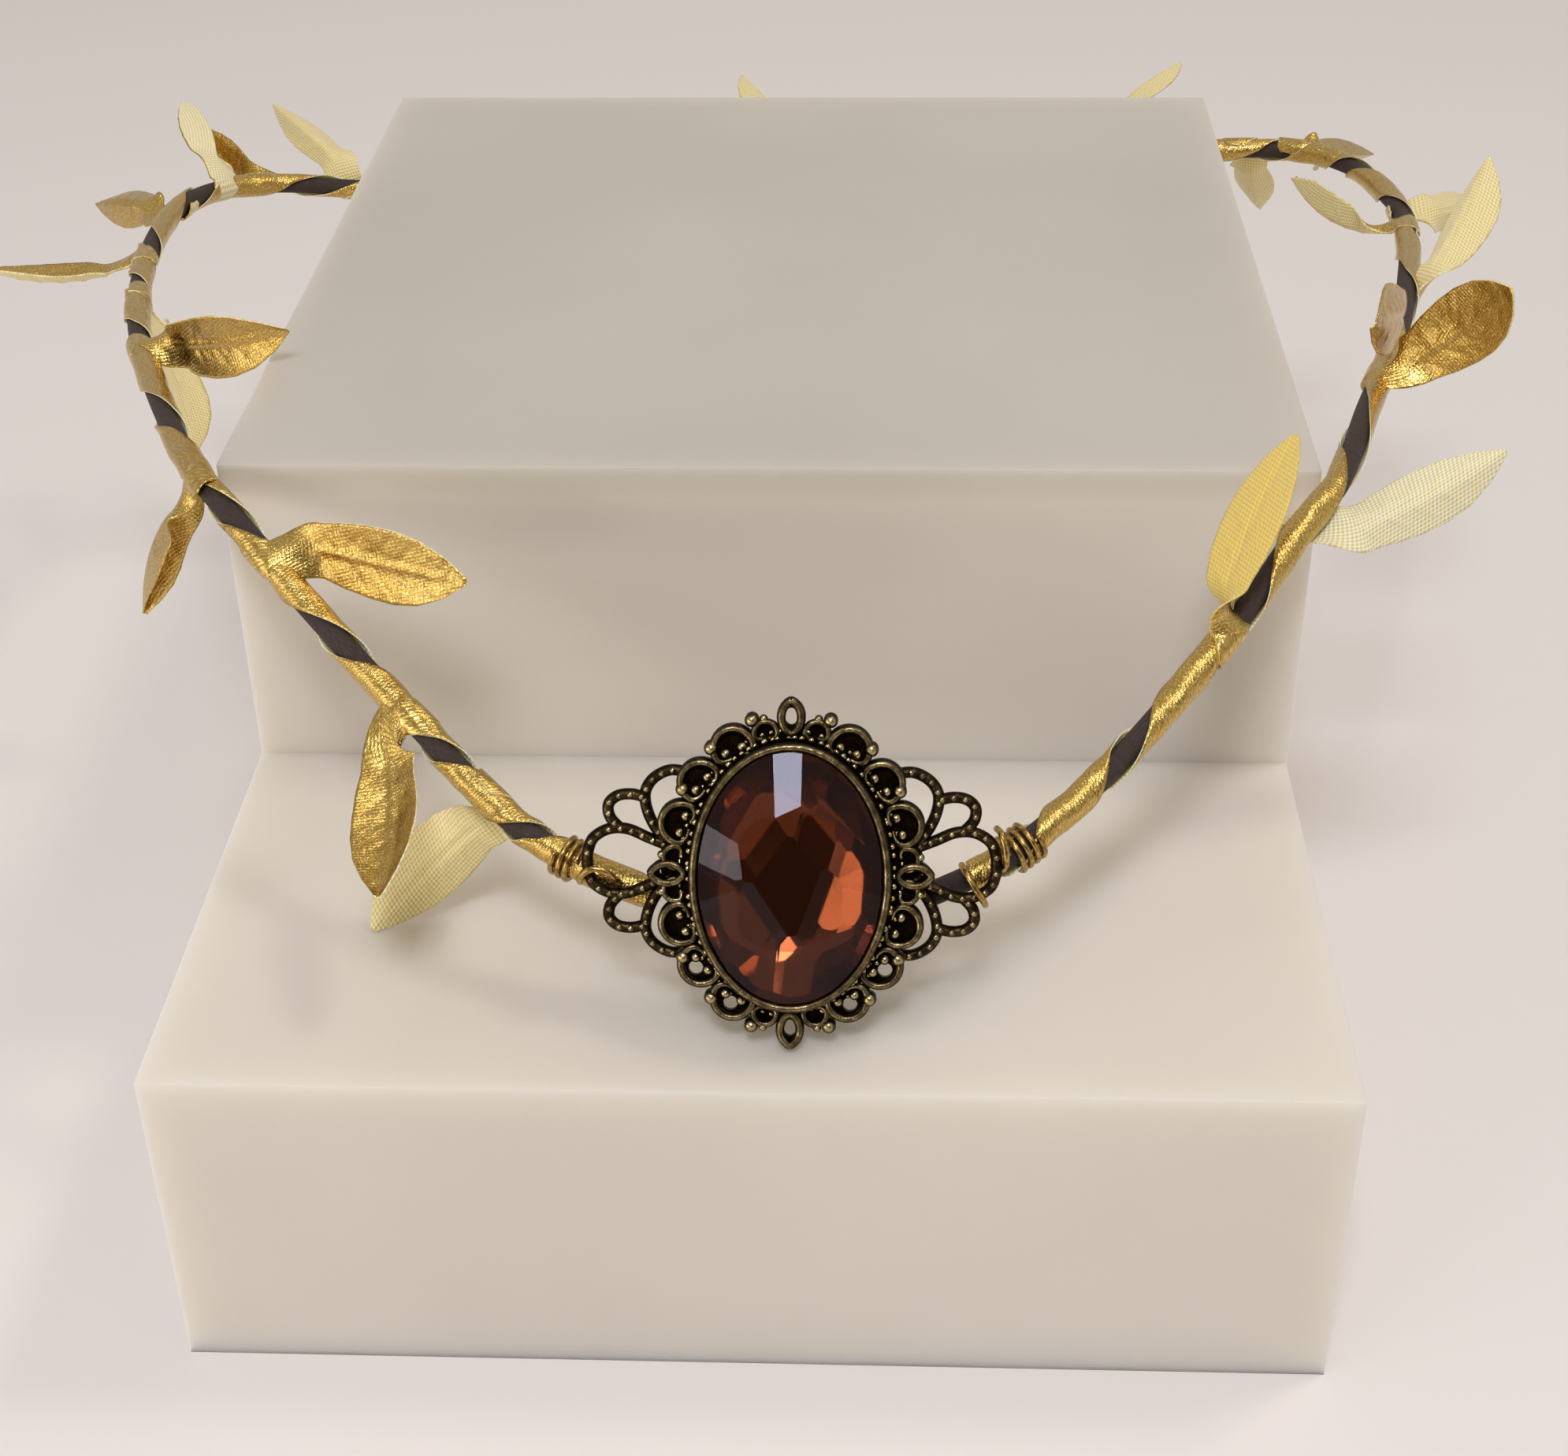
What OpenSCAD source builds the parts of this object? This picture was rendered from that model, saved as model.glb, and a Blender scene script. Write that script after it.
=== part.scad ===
// Laurel wreath crown on its stepped display block
// A stiff dark cord bent to a head ring, wound with gold foil ribbon and set with cloth leaves,
// closed at the front by an antique bronze filigree connector that carries a cut stone.
// Origin: middle of the block's underside. +X right, +Y to the back, +Z up. Millimetres.

/* [Display block] */
// Width of the block, left to right
stand_w = 120; // [112:1:130]
// Depth of the lower step's bare tread
step_d = 58; // [54:1:70]
// Depth of the upper part
top_d = 120; // [112:1:126]
// Height of the lower step
step_h = 38; // [30:1:50]
// Height of the upper part above the step
top_h = 38; // [34:1:46]

/* [Head ring] */
// How far the ring stands out past the block's left side, to the cord's centre
left_reach = 30.4; // [26:0.2:36]
// How far the ring stands out past the block's right side, to the cord's centre
right_reach = 24.9; // [22:0.2:34]
// How far the cord's centre stands behind the block at the back
back_bow = 6.4; // [5:0.2:12]
// How far the left arm's centre lies below the block's top edge
left_drop = 1.2; // [0.5:0.1:4]
// How far the right arm's centre lies below the block's top edge
right_drop = 0.9; // [0.5:0.1:4]
// How far the ring sinks from the left arm to the back
left_sag = 14.5; // [8:0.5:18]
// How far the ring sinks from the right arm to the back
right_sag = 9.1; // [6:0.5:14]

/* [Cord] */
// Diameter of the dark cord
stem_d = 2.4; // [2:0.1:2.8]
// Clearance between touching pieces
touch_gap = 0.15; // [0.1:0.05:0.25]

/* [Ribbon] */
// Width of the wound ribbon
ribbon_w = 5.6; // [4.6:0.1:6]
// Thickness of the wound ribbon
ribbon_t = 0.3; // [0.25:0.05:0.45]
// Space under the ribbon, where it bridges the cord
wrap_gap = 0.3; // [0.28:0.02:0.4]

/* [Leaves] */
// Length of a leaf from the ribbon to its point
leaf_l = 21; // [18:0.5:23]
// Greatest width of a leaf
leaf_w = 8.6; // [7.4:0.2:9.4]
// Thickness of the leaf cloth
leaf_t = 1; // [0.8:0.1:1.2]

/* [Stone] */
// Width of the oval stone
stone_w = 18; // [17:0.5:18.5]
// Height of the oval stone
stone_h = 25; // [24:0.5:25.5]
// Height of the stone's crown above its girdle
crown_h = 3.4; // [2.8:0.1:4]
// Depth of the stone below its girdle
pavilion_h = 1.6; // [1.2:0.1:1.8]
// Thickness of the stone's girdle
girdle_t = 0.6; // [0.4:0.1:0.8]
// Clearance round the stone in its bezel
stone_gap = 0.12; // [0.1:0.02:0.2]

/* [Cameo setting] */
// Thickness of the bezel wall
bezel_wall = 0.65; // [0.5:0.05:0.8]
// Thickness of the lace plate
lace_t = 1; // [0.8:0.1:1.2]
// Width of the lace border, past the bezel, at the sides
lace_side = 3; // [2.6:0.1:3.4]
// Width of a scallop's raised rim
rim_w = 0.7; // [0.5:0.05:0.85]
// Height of a scallop's rim above the lace plate
rim_h = 0.8; // [0.6:0.1:1]
// Diameter of the balls between the scallops
ball_d = 1.4; // [1.2:0.1:1.6]
// Diameter of the beads inside the scallops
bead_d = 0.9; // [0.7:0.05:1]

/* [Filigree connector] */
// Overall width of the connector
filigree_w = 41.4; // [40:0.2:45]
// Overall height of the connector
filigree_h = 19.2; // [18:0.2:21]
// Width of its cast wire
wire_w = 1.1; // [0.9:0.05:1.3]
// Thickness of the connector
filigree_t = 1.1; // [0.9:0.1:1.3]
// How far the connector's middle sits above the stone's middle
filigree_up = 0.8; // [0:0.1:1.6]

/* [Lashing] */
// Diameter of the lashing wire
lash_d = 0.65; // [0.5:0.05:0.75]
// Turns round the cord at the left wing
lash_turns_left = 3; // [2:1:5]
// Turns round the cord at the right wing
lash_turns_right = 4; // [2:1:5]

/* [Brooch place] */
// How far the brooch sits to the right of the block's middle
brooch_x = 4.2; // [0:0.1:8]
// Angle of the brooch's face from level
brooch_lean = 65; // [60:1:70]
// How far the brooch's foot stands behind the step's front edge
foot_inset = 7.1; // [5:0.1:12]

/* [Hidden] */
LEAF_COUNT = 25;
LEAF_NAMES = [for (i = [1:LEAF_COUNT]) str("leaf_", i < 10 ? "0" : "", i)];
$fn = 48;

block_top = step_h + top_h;
riser_y = (step_d - top_d) / 2;
front_y = riser_y - step_d;
back_y = riser_y + top_d;
half_w = stand_w / 2;

stem_r = stem_d / 2;
wrap_r = stem_r + wrap_gap;
over_r = wrap_r + ribbon_t;
rest_r = over_r + touch_gap;

// Half sizes of the ovals, from the stone outwards
seat_a = stone_w / 2 + stone_gap;
seat_b = stone_h / 2 + stone_gap;
bezel_a = seat_a + bezel_wall;
bezel_b = seat_b + bezel_wall;
lace_a = bezel_a + lace_side;
lace_b = bezel_b + lace_side;
scallop_a = bezel_a + 0.55 * lace_side;
scallop_b = bezel_b + 0.35 * lace_side;
scallop_r = 0.8 * lace_side;
navette_l = 1.27 * lace_side;
navette_w = 0.93 * lace_side;
lace_foot = bezel_b + 0.14 * lace_side + navette_l;
girdle_w = lace_t + pavilion_h + 0.1;
bezel_h = girdle_w + girdle_t + 0.3;

// Places in the brooch: u to its right, v up its face, w out of its face from the back of the lace plate
brooch_y = front_y + foot_inset + lace_foot * cos(brooch_lean);
brooch_z = step_h + touch_gap + lace_foot * sin(brooch_lean);
function brooch_point(u, v, w) =
    [brooch_x + u,
     brooch_y + v * cos(brooch_lean) - w * sin(brooch_lean),
     brooch_z + v * sin(brooch_lean) + w * cos(brooch_lean)];
module on_brooch() {
    translate([brooch_x, brooch_y, brooch_z]) rotate([brooch_lean, 0, 0]) children();
}

// The cord's place behind the wings
filigree_back = -touch_gap - filigree_t;
tuck_w = filigree_back - 2 * touch_gap - over_r;
// Columns: across as a share of the connector's half width, up as a share of its half height
LEFT_TUCK = [[-0.64, -0.43], [-0.83, -0.28], [-1, -0.13]];
RIGHT_TUCK = [[1.05, 0.06], [0.86, -0.18], [0.65, -0.39]];
function tuck(row) =
    brooch_point(row[0] * filigree_w / 2, filigree_up + row[1] * filigree_h / 2, tuck_w);

// Where the arms lean on the block's front corners: the way out of the corner, in degrees from +X
left_corner_turn = 210;
right_corner_turn = -21;
left_corner = [-half_w + rest_r * cos(left_corner_turn), riser_y + rest_r * sin(left_corner_turn),
               block_top - left_drop];
right_corner = [half_w + rest_r * cos(right_corner_turn), riser_y + rest_r * sin(right_corner_turn),
                block_top - right_drop];

// Columns: shares of the way from the wing to the corner: across, back, up
LEFT_ARM = [[0.17, 0.10, 0.12], [0.42, 0.34, 0.39], [0.69, 0.62, 0.69], [0.87, 0.82, 0.91]];
RIGHT_ARM = [[0.21, 0.15, 0.16], [0.43, 0.34, 0.38], [0.70, 0.62, 0.69], [0.87, 0.82, 0.92]];
// Columns: share of the bulge past the corner, share of the upper part's depth, share of the sag
LEFT_SIDE = [[0.28, 0.13, 0.055], [0.63, 0.34, 0.18], [0.82, 0.50, 0.29], [0.945, 0.66, 0.42],
             [1, 0.79, 0.54], [0.97, 0.89, 0.65], [0.86, 0.965, 0.78], [0.62, 1.012, 0.90]];
RIGHT_SIDE = [[0.26, 0.149, 0.055], [0.61, 0.356, 0.21], [0.85, 0.556, 0.41], [0.952, 0.668, 0.53],
              [1, 0.772, 0.63], [0.96, 0.869, 0.74], [0.86, 0.953, 0.83], [0.60, 1.022, 0.92]];
// Columns: share of the block's half width, share of the bow behind it, way from left to right in height
BACK = [[-1.05, 0.55, 0], [-0.5, 0.87, 0.2], [0, 1, 0.42], [0.5, 0.98, 0.7], [1.06, 0.8, 1]];

left_wing = tuck(LEFT_TUCK[2]);
right_wing = tuck(RIGHT_TUCK[0]);
left_low = block_top - left_drop - left_sag;
right_low = block_top - right_drop - right_sag;
function arm_point(row, wing, corner) =
    [for (k = [0:2]) wing[k] + row[k] * (corner[k] - wing[k])];
function side_point(row, corner, reach, drop, sag) =
    [corner[0] + row[0] * (reach - corner[0]), riser_y + row[1] * top_d, block_top - drop - row[2] * sag];
function back_point(row) =
    [row[0] * half_w, back_y + row[1] * back_bow, left_low + row[2] * (right_low - left_low)];
function backwards(rows) = [for (i = [len(rows) - 1:-1:0]) rows[i]];

ROUTE = concat(
    [for (row = LEFT_TUCK) tuck(row)],
    [for (row = LEFT_ARM) arm_point(row, left_wing, left_corner)],
    [left_corner],
    [for (row = LEFT_SIDE) side_point(row, left_corner, -half_w - left_reach, left_drop, left_sag)],
    [for (row = BACK) back_point(row)],
    [for (row = backwards(RIGHT_SIDE)) side_point(row, right_corner, half_w + right_reach, right_drop, right_sag)],
    [right_corner],
    [for (row = backwards(RIGHT_ARM)) arm_point(row, right_wing, right_corner)],
    [for (row = RIGHT_TUCK) tuck(row)]);
last_point = len(ROUTE) - 1;
KNOTS = [for (i = 0, k = 0; i <= last_point;
              k = k + (i < last_point ? norm(ROUTE[i + 1] - ROUTE[i]) : 0), i = i + 1) k];
ring_length = KNOTS[last_point];
SLOPES = [for (i = [0:last_point])
    let (a = max(i - 1, 0), b = min(i + 1, last_point)) (ROUTE[b] - ROUTE[a]) / (KNOTS[b] - KNOTS[a])];

// Smooth curve through the route: share 0 is its left end, 1 its right end
function stretch(k, i = 0) = (i >= last_point - 1 || k < KNOTS[i + 1]) ? i : stretch(k, i + 1);
function stem_at(share) =
    let (k = share * ring_length, i = stretch(k), h = KNOTS[i + 1] - KNOTS[i], t = (k - KNOTS[i]) / h)
    ROUTE[i] * (1 + 2 * t) * (1 - t) * (1 - t) + SLOPES[i] * h * t * (1 - t) * (1 - t)
    + ROUTE[i + 1] * t * t * (3 - 2 * t) + SLOPES[i + 1] * h * t * t * (t - 1);
function unit(v) = v / norm(v);
function stem_dir(share) = unit(stem_at(min(share + 0.001, 1)) - stem_at(max(share - 0.001, 0)));

// Turns round the cord are counted from the side that faces up and to the front
face_dir = [0, -cos(37), sin(37)];
function point_round(share, angle, r) =
    let (along = stem_dir(share), out = unit(face_dir - (face_dir * along) * along), over = cross(along, out))
    stem_at(share) + r * (cos(angle) * out + sin(angle) * over);

// A closed skin over rings of n points each, with fanned ends
module tube(rings, n) {
    last = len(rings) - 1;
    side = [for (i = [0:last - 1], j = [0:n - 1]) let (a = i * n, b = (j + 1) % n)
            each [[a + j, a + b, a + n + b], [a + j, a + n + b, a + n + j]]];
    ends = [[for (j = [n - 1:-1:0]) j], [for (j = [0:n - 1]) last * n + j]];
    polyhedron(points = [for (r = rings) each r], faces = concat(side, ends), convexity = 10);
}

// A closed skin over a bent sheet: each section holds m points of its outer side, then m of its inner side
module sheet(sections, m) {
    n = 2 * m;
    last = len(sections) - 1;
    outer = [for (i = [0:last - 1], j = [0:m - 2]) let (a = i * n + j)
             each [[a, a + n + 1, a + 1], [a, a + n, a + n + 1]]];
    inner = [for (i = [0:last - 1], j = [0:m - 2]) let (a = i * n + m + j)
             each [[a, a + 1, a + n + 1], [a, a + n + 1, a + n]]];
    sides = [for (i = [0:last - 1]) let (a = i * n, b = a + n)
             each [[a, a + m, b + m], [a, b + m, b],
                   [a + m - 1, b + m - 1, b + n - 1], [a + m - 1, b + n - 1, a + n - 1]]];
    caps = [for (j = [0:m - 2]) let (b = last * n)
            each [[j, j + 1, m + j + 1], [j, m + j + 1, m + j],
                  [b + j, b + m + j + 1, b + j + 1], [b + j, b + m + j, b + m + j + 1]]];
    polyhedron(points = [for (s = sections) each s], faces = concat(outer, inner, sides, caps), convexity = 10);
}

module display_block() {
    color([0.80, 0.78, 0.74])
    rotate([90, 0, 90])
    translate([0, 0, -half_w])
    linear_extrude(height = stand_w)
    polygon([[front_y, 0], [back_y, 0], [back_y, block_top], [riser_y, block_top],
             [riser_y, step_h], [front_y, step_h]]);
}

stem_rings = 128;
stem_sides = 8;
module stem() {
    color([0.16, 0.12, 0.10])
    tube([for (i = [0:stem_rings])
          [for (j = [0:stem_sides - 1]) point_round(i / stem_rings, -j * 360 / stem_sides, stem_r)]],
         stem_sides);
}

// Columns: turns so far, share along the cord. A whole number of turns leaves the cord bare at the front.
TURNS = [[-2, -0.04], [-0.3, 0], [1, 0.027], [2, 0.048], [3, 0.08], [4, 0.117], [5, 0.16], [6, 0.215],
         [7, 0.247], [8, 0.282], [9, 0.338], [10, 0.378], [17, 0.645], [18, 0.67], [19, 0.717],
         [20, 0.778], [21, 0.873], [22, 0.917], [23, 0.957], [24, 0.982], [27, 1.05]];
function share_at(turns) =
    (lookup(turns - 0.4, TURNS) + 2 * lookup(turns, TURNS) + lookup(turns + 0.4, TURNS)) / 4;
// The ribbon starts and ends short of the cord's hidden ends
ribbon_first = 0.1;
ribbon_last = 24.4;
ribbon_sections = 250;
ribbon_strips = 5;
function ribbon_arc(turns) =
    let (advance = (share_at(turns + 0.1) - share_at(turns - 0.1)) / 0.2 * ring_length,
         slant = 2 * PI * over_r / advance)
    min(ribbon_w * sqrt(1 + slant * slant) / over_r * 180 / PI, 270);
module ribbon() {
    color([0.83, 0.66, 0.28])
    sheet([for (i = [0:ribbon_sections])
           let (turns = ribbon_first + (ribbon_last - ribbon_first) * i / ribbon_sections,
                share = share_at(turns),
                arc = ribbon_arc(turns))
           [for (r = [over_r, wrap_r], j = [0:ribbon_strips])
            point_round(share, 180 - 360 * turns + arc * (j / ribbon_strips - 0.5), r)]],
          ribbon_strips + 1);
}

// Columns: share of the leaf's length, half width as a share of its width
LEAF_OUTLINE = [[0, 0.16], [0.08, 0.27], [0.18, 0.355], [0.32, 0.44], [0.47, 0.49], [0.6, 0.495],
                [0.74, 0.425], [0.88, 0.26], [1, 0.04]];
// Columns: share along the cord, heading from +X, rise above level, roll about its own length,
// bend towards its foil side, cup of its edges, share of the full length
LEAVES = [
    [0.036, 140, -44, 68, -53, 23, 1],
    [0.060, 284, -38, 25, 41, 30, 0.98],
    [0.103, 338, -1, 80, -2, 8, 1],
    [0.130, 147, -33, 9, -53, -66, 1],
    [0.203, 313, 14, 104, -31, 22, 1.1],
    [0.240, 53, -67, -10, -27, 13, 1],
    [0.272, 198, -17, 11, 43, 26, 0.93],
    [0.322, 145, -5, 133, 26, 46, 1],
    [0.347, 96, 33, 49, -52, -53, 1],
    [0.362, 131, -17, -5, 63, 63, 1],
    [0.385, 147, 35, 151, 41, 53, 1],
    [0.430, 118, 22, -140, 30, 30, 1],
    [0.470, 62, -24, 20, 30, 30, 1],
    [0.510, 112, 30, -150, 25, 35, 1],
    [0.550, 75, -18, 10, 35, 30, 1],
    [0.592, 52, 34, 150, 30, 30, 1],
    [0.633, 66, -58, -9, 33, 45, 1],
    [0.648, 33, -14, 78, -30, -60, 1],
    [0.707, 34, -7, -124, 29, 42, 1],
    [0.723, 138, -14, 46, 50, 50, 1],
    [0.773, 55, 20, 162, -20, 35, 1],
    [0.805, 256, 19, 92, 15, 14, 1.05],
    [0.830, -9, 41, 64, 55, 2, 1],
    [0.893, 31, 5, -144, -34, 38, 1.02],
    [0.923, 63, 54, 148, 20, -1, 1]
];
function leaf_frame(row) =
    let (h = row[1], r = row[2],
         ahead = [cos(r) * cos(h), cos(r) * sin(h), sin(r)],
         level = [sin(h), -cos(h), 0],
         up = cross(level, ahead),
         foil = cos(row[3]) * up + sin(row[3]) * level)
    [ahead, foil, cross(ahead, foil)];
// Sections of a leaf from its foot, three points on its foil side and three on its cloth side
function leaf_sections(row, f) =
    let (bend = row[4] == 0 ? 0.01 : row[4], bow = row[6] * leaf_l * 180 / (PI * bend))
    [for (o = LEAF_OUTLINE)
     let (turn = bend * o[0],
          face = cos(turn) * f[1] - sin(turn) * f[0],
          mid = bow * (sin(turn) * f[0] + (1 - cos(turn)) * f[1]),
          reach = o[1] * leaf_w)
     [for (side = [0.5, -0.5], j = [-1, 0, 1])
      mid + side * leaf_t * face + reach * (j * cos(row[5]) * f[2] + abs(j) * sin(row[5]) * face)]];
// A leaf stands as far off the cord as its lowest corner needs
module leaf(row) {
    f = leaf_frame(row);
    along = stem_dir(row[0]);
    out = unit(f[0] - (f[0] * along) * along);
    sections = leaf_sections(row, f);
    lowest = min([for (s = sections, p = s) p * out]);
    root = stem_at(row[0]) + (rest_r - lowest) * out;
    color([0.85, 0.68, 0.27])
    translate(root)
    sheet(sections, 3);
}

// Oval outline of given half sizes
function oval(a, b, n = 64) = [for (i = [0:n - 1]) [a * cos(i * 360 / n), b * sin(i * 360 / n)]];
// Pointed oval lying along X
module navette(l, w) {
    r = (l * l + w * w) / (4 * w);
    intersection() {
        translate([0, r - w / 2]) circle(r = r);
        translate([0, w / 2 - r]) circle(r = r);
    }
}

// One quadrant of the lace, mirrored to the others.
// Columns: angle on the scallop oval, radius as a share of the full scallop, facing of its opening
SCALLOPS = [[20.4, 1, 200], [39.5, 1, 222], [60.5, 1, 246]];
SCROLLS = [[8, 0.5, 0], [78.5, 0.5, 0]];
// Columns: angle on the lace's outer oval
BALLS = [31.5, 51, 72];
function on_scallops(angle) = [scallop_a * cos(angle), scallop_b * sin(angle)];
ball_a = lace_a - 0.12 * lace_side;
ball_b = lace_b - 0.08 * lace_side;
function on_balls(angle) = [ball_a * cos(angle), ball_b * sin(angle)];
function beads_of(row) = [for (s = [-1, 1])
    on_scallops(row[0]) + 0.34 * scallop_r * [cos(row[2] + 90 * s), sin(row[2] + 90 * s)]];
module four_ways() {
    for (sx = [1, -1], sy = [1, -1]) scale([sx, sy]) children();
}

module oval_stone() {
    a = stone_w / 2;
    b = stone_h / 2;
    full = crown_h / 0.9;
    color([0.30, 0.13, 0.07])
    on_brooch()
    translate([0, 0, girdle_w])
    difference() {
        translate([0, 0, -pavilion_h])
        linear_extrude(height = pavilion_h + girdle_t + crown_h)
        polygon(oval(a, b, 48));
        translate([0, 0, girdle_t]) facets(a, b, full, CROWN_CUTS);
        mirror([0, 0, 1]) facets(a, b, pavilion_h * 1.15, PAVILION_CUTS);
    }
}
// Columns: height angle of the cut, number of cuts, share of a step that they are turned by
CROWN_CUTS = [[14, 14, 0], [36, 14, 0.5], [60, 7, 0]];
PAVILION_CUTS = [[35, 14, 0.5]];
module facets(a, b, c, cuts) {
    slab = 2 * max(a, b);
    for (row = cuts, i = [0:row[1] - 1]) {
        turn = (i + row[2]) * 360 / row[1];
        place = [a * cos(row[0]) * cos(turn), b * cos(row[0]) * sin(turn), c * sin(row[0])];
        normal = [cos(row[0]) * cos(turn) / a, cos(row[0]) * sin(turn) / b, sin(row[0]) / c];
        translate(place)
        rotate([0, acos(normal[2] / norm(normal)), atan2(normal[1], normal[0])])
        translate([-slab / 2, -slab / 2, 0])
        cube([slab, slab, slab / 2]);
    }
}

module cameo_setting() {
    color([0.36, 0.29, 0.19])
    on_brooch() {
        difference() {
            linear_extrude(height = lace_t) lace_plate();
            translate([0, 0, -1]) linear_extrude(height = lace_t + 2) lace_holes();
        }
        translate([0, 0, lace_t - 0.1]) linear_extrude(height = rim_h + 0.1) lace_rims();
        linear_extrude(height = bezel_h)
        difference() {
            polygon(oval(bezel_a, bezel_b));
            polygon(oval(seat_a, seat_b));
        }
        for (sx = [1, -1], sy = [1, -1]) {
            for (angle = BALLS) {
                p = on_balls(angle);
                translate([sx * p[0], sy * p[1], lace_t]) sphere(d = ball_d);
            }
            for (row = SCALLOPS, p = beads_of(row))
                translate([sx * p[0], sy * p[1], lace_t]) sphere(d = bead_d);
        }
    }
}
module lace_plate() {
    polygon(oval(scallop_a, scallop_b));
    four_ways() {
        for (row = concat(SCALLOPS, SCROLLS)) translate(on_scallops(row[0])) circle(r = row[1] * scallop_r);
        for (angle = BALLS) translate(on_balls(angle)) circle(r = ball_d / 2);
    }
    navettes(navette_l, navette_w);
}
module navettes(l, w) {
    for (s = [1, -1]) {
        translate([s * (bezel_a + 0.14 * lace_side + navette_l / 2), 0]) navette(l, w);
        translate([0, s * (bezel_b + 0.14 * lace_side + navette_l / 2)]) rotate(90) navette(l, w);
    }
}
module lace_holes() {
    navettes(navette_l - 3 * rim_w, navette_w - 2 * rim_w);
    for (s = [1, -1], row = [SCALLOPS[1], SCALLOPS[2]]) {
        p = on_scallops(-row[0]);
        translate([s * p[0], p[1]]) scale([s, 1]) rotate(-row[2]) translate([-0.3 * scallop_r, 0])
        circle(r = 0.3 * scallop_r);
    }
}
module lace_rims() {
    difference() {
        union() {
            four_ways() for (row = concat(SCALLOPS, SCROLLS)) translate(on_scallops(row[0]))
                circle(r = row[1] * scallop_r);
            navettes(navette_l, navette_w);
        }
        four_ways() for (row = concat(SCALLOPS, SCROLLS)) translate(on_scallops(row[0]))
            circle(r = row[1] * scallop_r - rim_w);
        navettes(navette_l - 3 * rim_w, navette_w - 2 * rim_w);
        polygon(oval(bezel_a - 0.1, bezel_b - 0.1));
    }
}

// Wire paths of one wing's upper half, from the hub outwards.
// Columns: across and up, as shares of the connector's half width and half height to the wire's centre
BIG_LOOP = [[0.48, 0.93], [0.575, 0.955], [0.655, 0.87], [0.695, 0.73], [0.69, 0.56], [0.655, 0.38],
            [0.60, 0.22]];
SMALL_LOOP = [[0.685, 0.66], [0.76, 0.70], [0.83, 0.68], [0.872, 0.59], [0.865, 0.46], [0.82, 0.35]];
EYE_LOOP = [[0.58, 0.16], [0.68, 0.245], [0.78, 0.335], [0.87, 0.335], [0.945, 0.24], [0.972, 0.1],
            [0.975, 0], [0.972, -0.1], [0.945, -0.24], [0.87, -0.335], [0.78, -0.335], [0.68, -0.245],
            [0.58, -0.16]];
function smooth(rows, per = 4) =
    let (m = len(rows) - 1)
    [for (i = [0:m - 1], j = [0:(i == m - 1 ? per : per - 1)])
     let (t = j / per, a = rows[max(i - 1, 0)], b = rows[i], c = rows[i + 1], d = rows[min(i + 2, m)])
     0.5 * ((2 * b) + (c - a) * t + (2 * a - 5 * b + 4 * c - d) * t * t + (3 * b - a - 3 * c + d) * t * t * t)];
function wire_outline(line, w) =
    let (m = len(line) - 1,
         sides = [for (i = [0:m]) let (d = unit(line[min(i + 1, m)] - line[max(i - 1, 0)])) [-d[1], d[0]]])
    concat([for (i = [0:m]) line[i] + w / 2 * sides[i]], [for (i = [m:-1:0]) line[i] - w / 2 * sides[i]]);
module wire(rows) {
    line = smooth([for (r = rows) [r[0] * filigree_w / 2, r[1] * filigree_h / 2]]);
    polygon(wire_outline(line, wire_w));
}
pad_a = 0.64 * filigree_w / 2;
pad_b = 0.97 * filigree_h / 2;
module filigree_connector() {
    color([0.30, 0.25, 0.18])
    on_brooch()
    translate([0, filigree_up, filigree_back])
    linear_extrude(height = filigree_t) {
        difference() {
            polygon(oval(pad_a, pad_b));
            polygon(oval(pad_a - 2 * wire_w, pad_b - 2 * wire_w));
        }
        four_ways() {
            wire(BIG_LOOP);
            wire(SMALL_LOOP);
        }
        for (s = [1, -1]) scale([s, 1]) wire(EYE_LOOP);
    }
}

// The wire runs round the cord just outside the wing's end
lash_r = over_r + 2 * touch_gap + lash_d / 2;
lash_pitch = lash_d + touch_gap;
lash_start = filigree_w / 2 + 2 * touch_gap + lash_d / 2;
lash_sides = 6;
lash_steps = 14;
// Share along the cord where it passes a given distance from the brooch's middle
function lash_share(side, reach) =
    side < 0 ? KNOTS[2] / ring_length * (reach * 2 / filigree_w + LEFT_TUCK[0][0])
               / (LEFT_TUCK[0][0] - LEFT_TUCK[2][0])
             : 1 - (1 - KNOTS[last_point - 2] / ring_length)
               * (reach * 2 / filigree_w - RIGHT_TUCK[2][0]) / (RIGHT_TUCK[0][0] - RIGHT_TUCK[2][0]);
module lashing(side, turns) {
    last = lash_steps * turns;
    line = [for (i = [0:last])
            point_round(lash_share(side, lash_start + lash_pitch * i / lash_steps), 360 * i / lash_steps, lash_r)];
    color([0.62, 0.50, 0.26])
    tube([for (i = [0:last])
          let (d = unit(line[min(i + 1, last)] - line[max(i - 1, 0)]), a = unit(cross(d, [1, 0, 0])),
               b = cross(d, a))
          [for (j = [0:lash_sides - 1]) line[i] + lash_d / 2 * (cos(-j * 60) * a + sin(-j * 60) * b)]],
         lash_sides);
}
module lashing_left() {
    lashing(-1, lash_turns_left);
}
module lashing_right() {
    lashing(1, lash_turns_right);
}

display_block();
stem();
ribbon();
filigree_connector();
cameo_setting();
oval_stone();
lashing_left();
lashing_right();
for (i = [0:LEAF_COUNT - 1]) leaf(LEAVES[i]);
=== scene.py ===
import math
import random
import bpy
import bmesh
import numpy as np
from mathutils import Matrix, Vector


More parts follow.
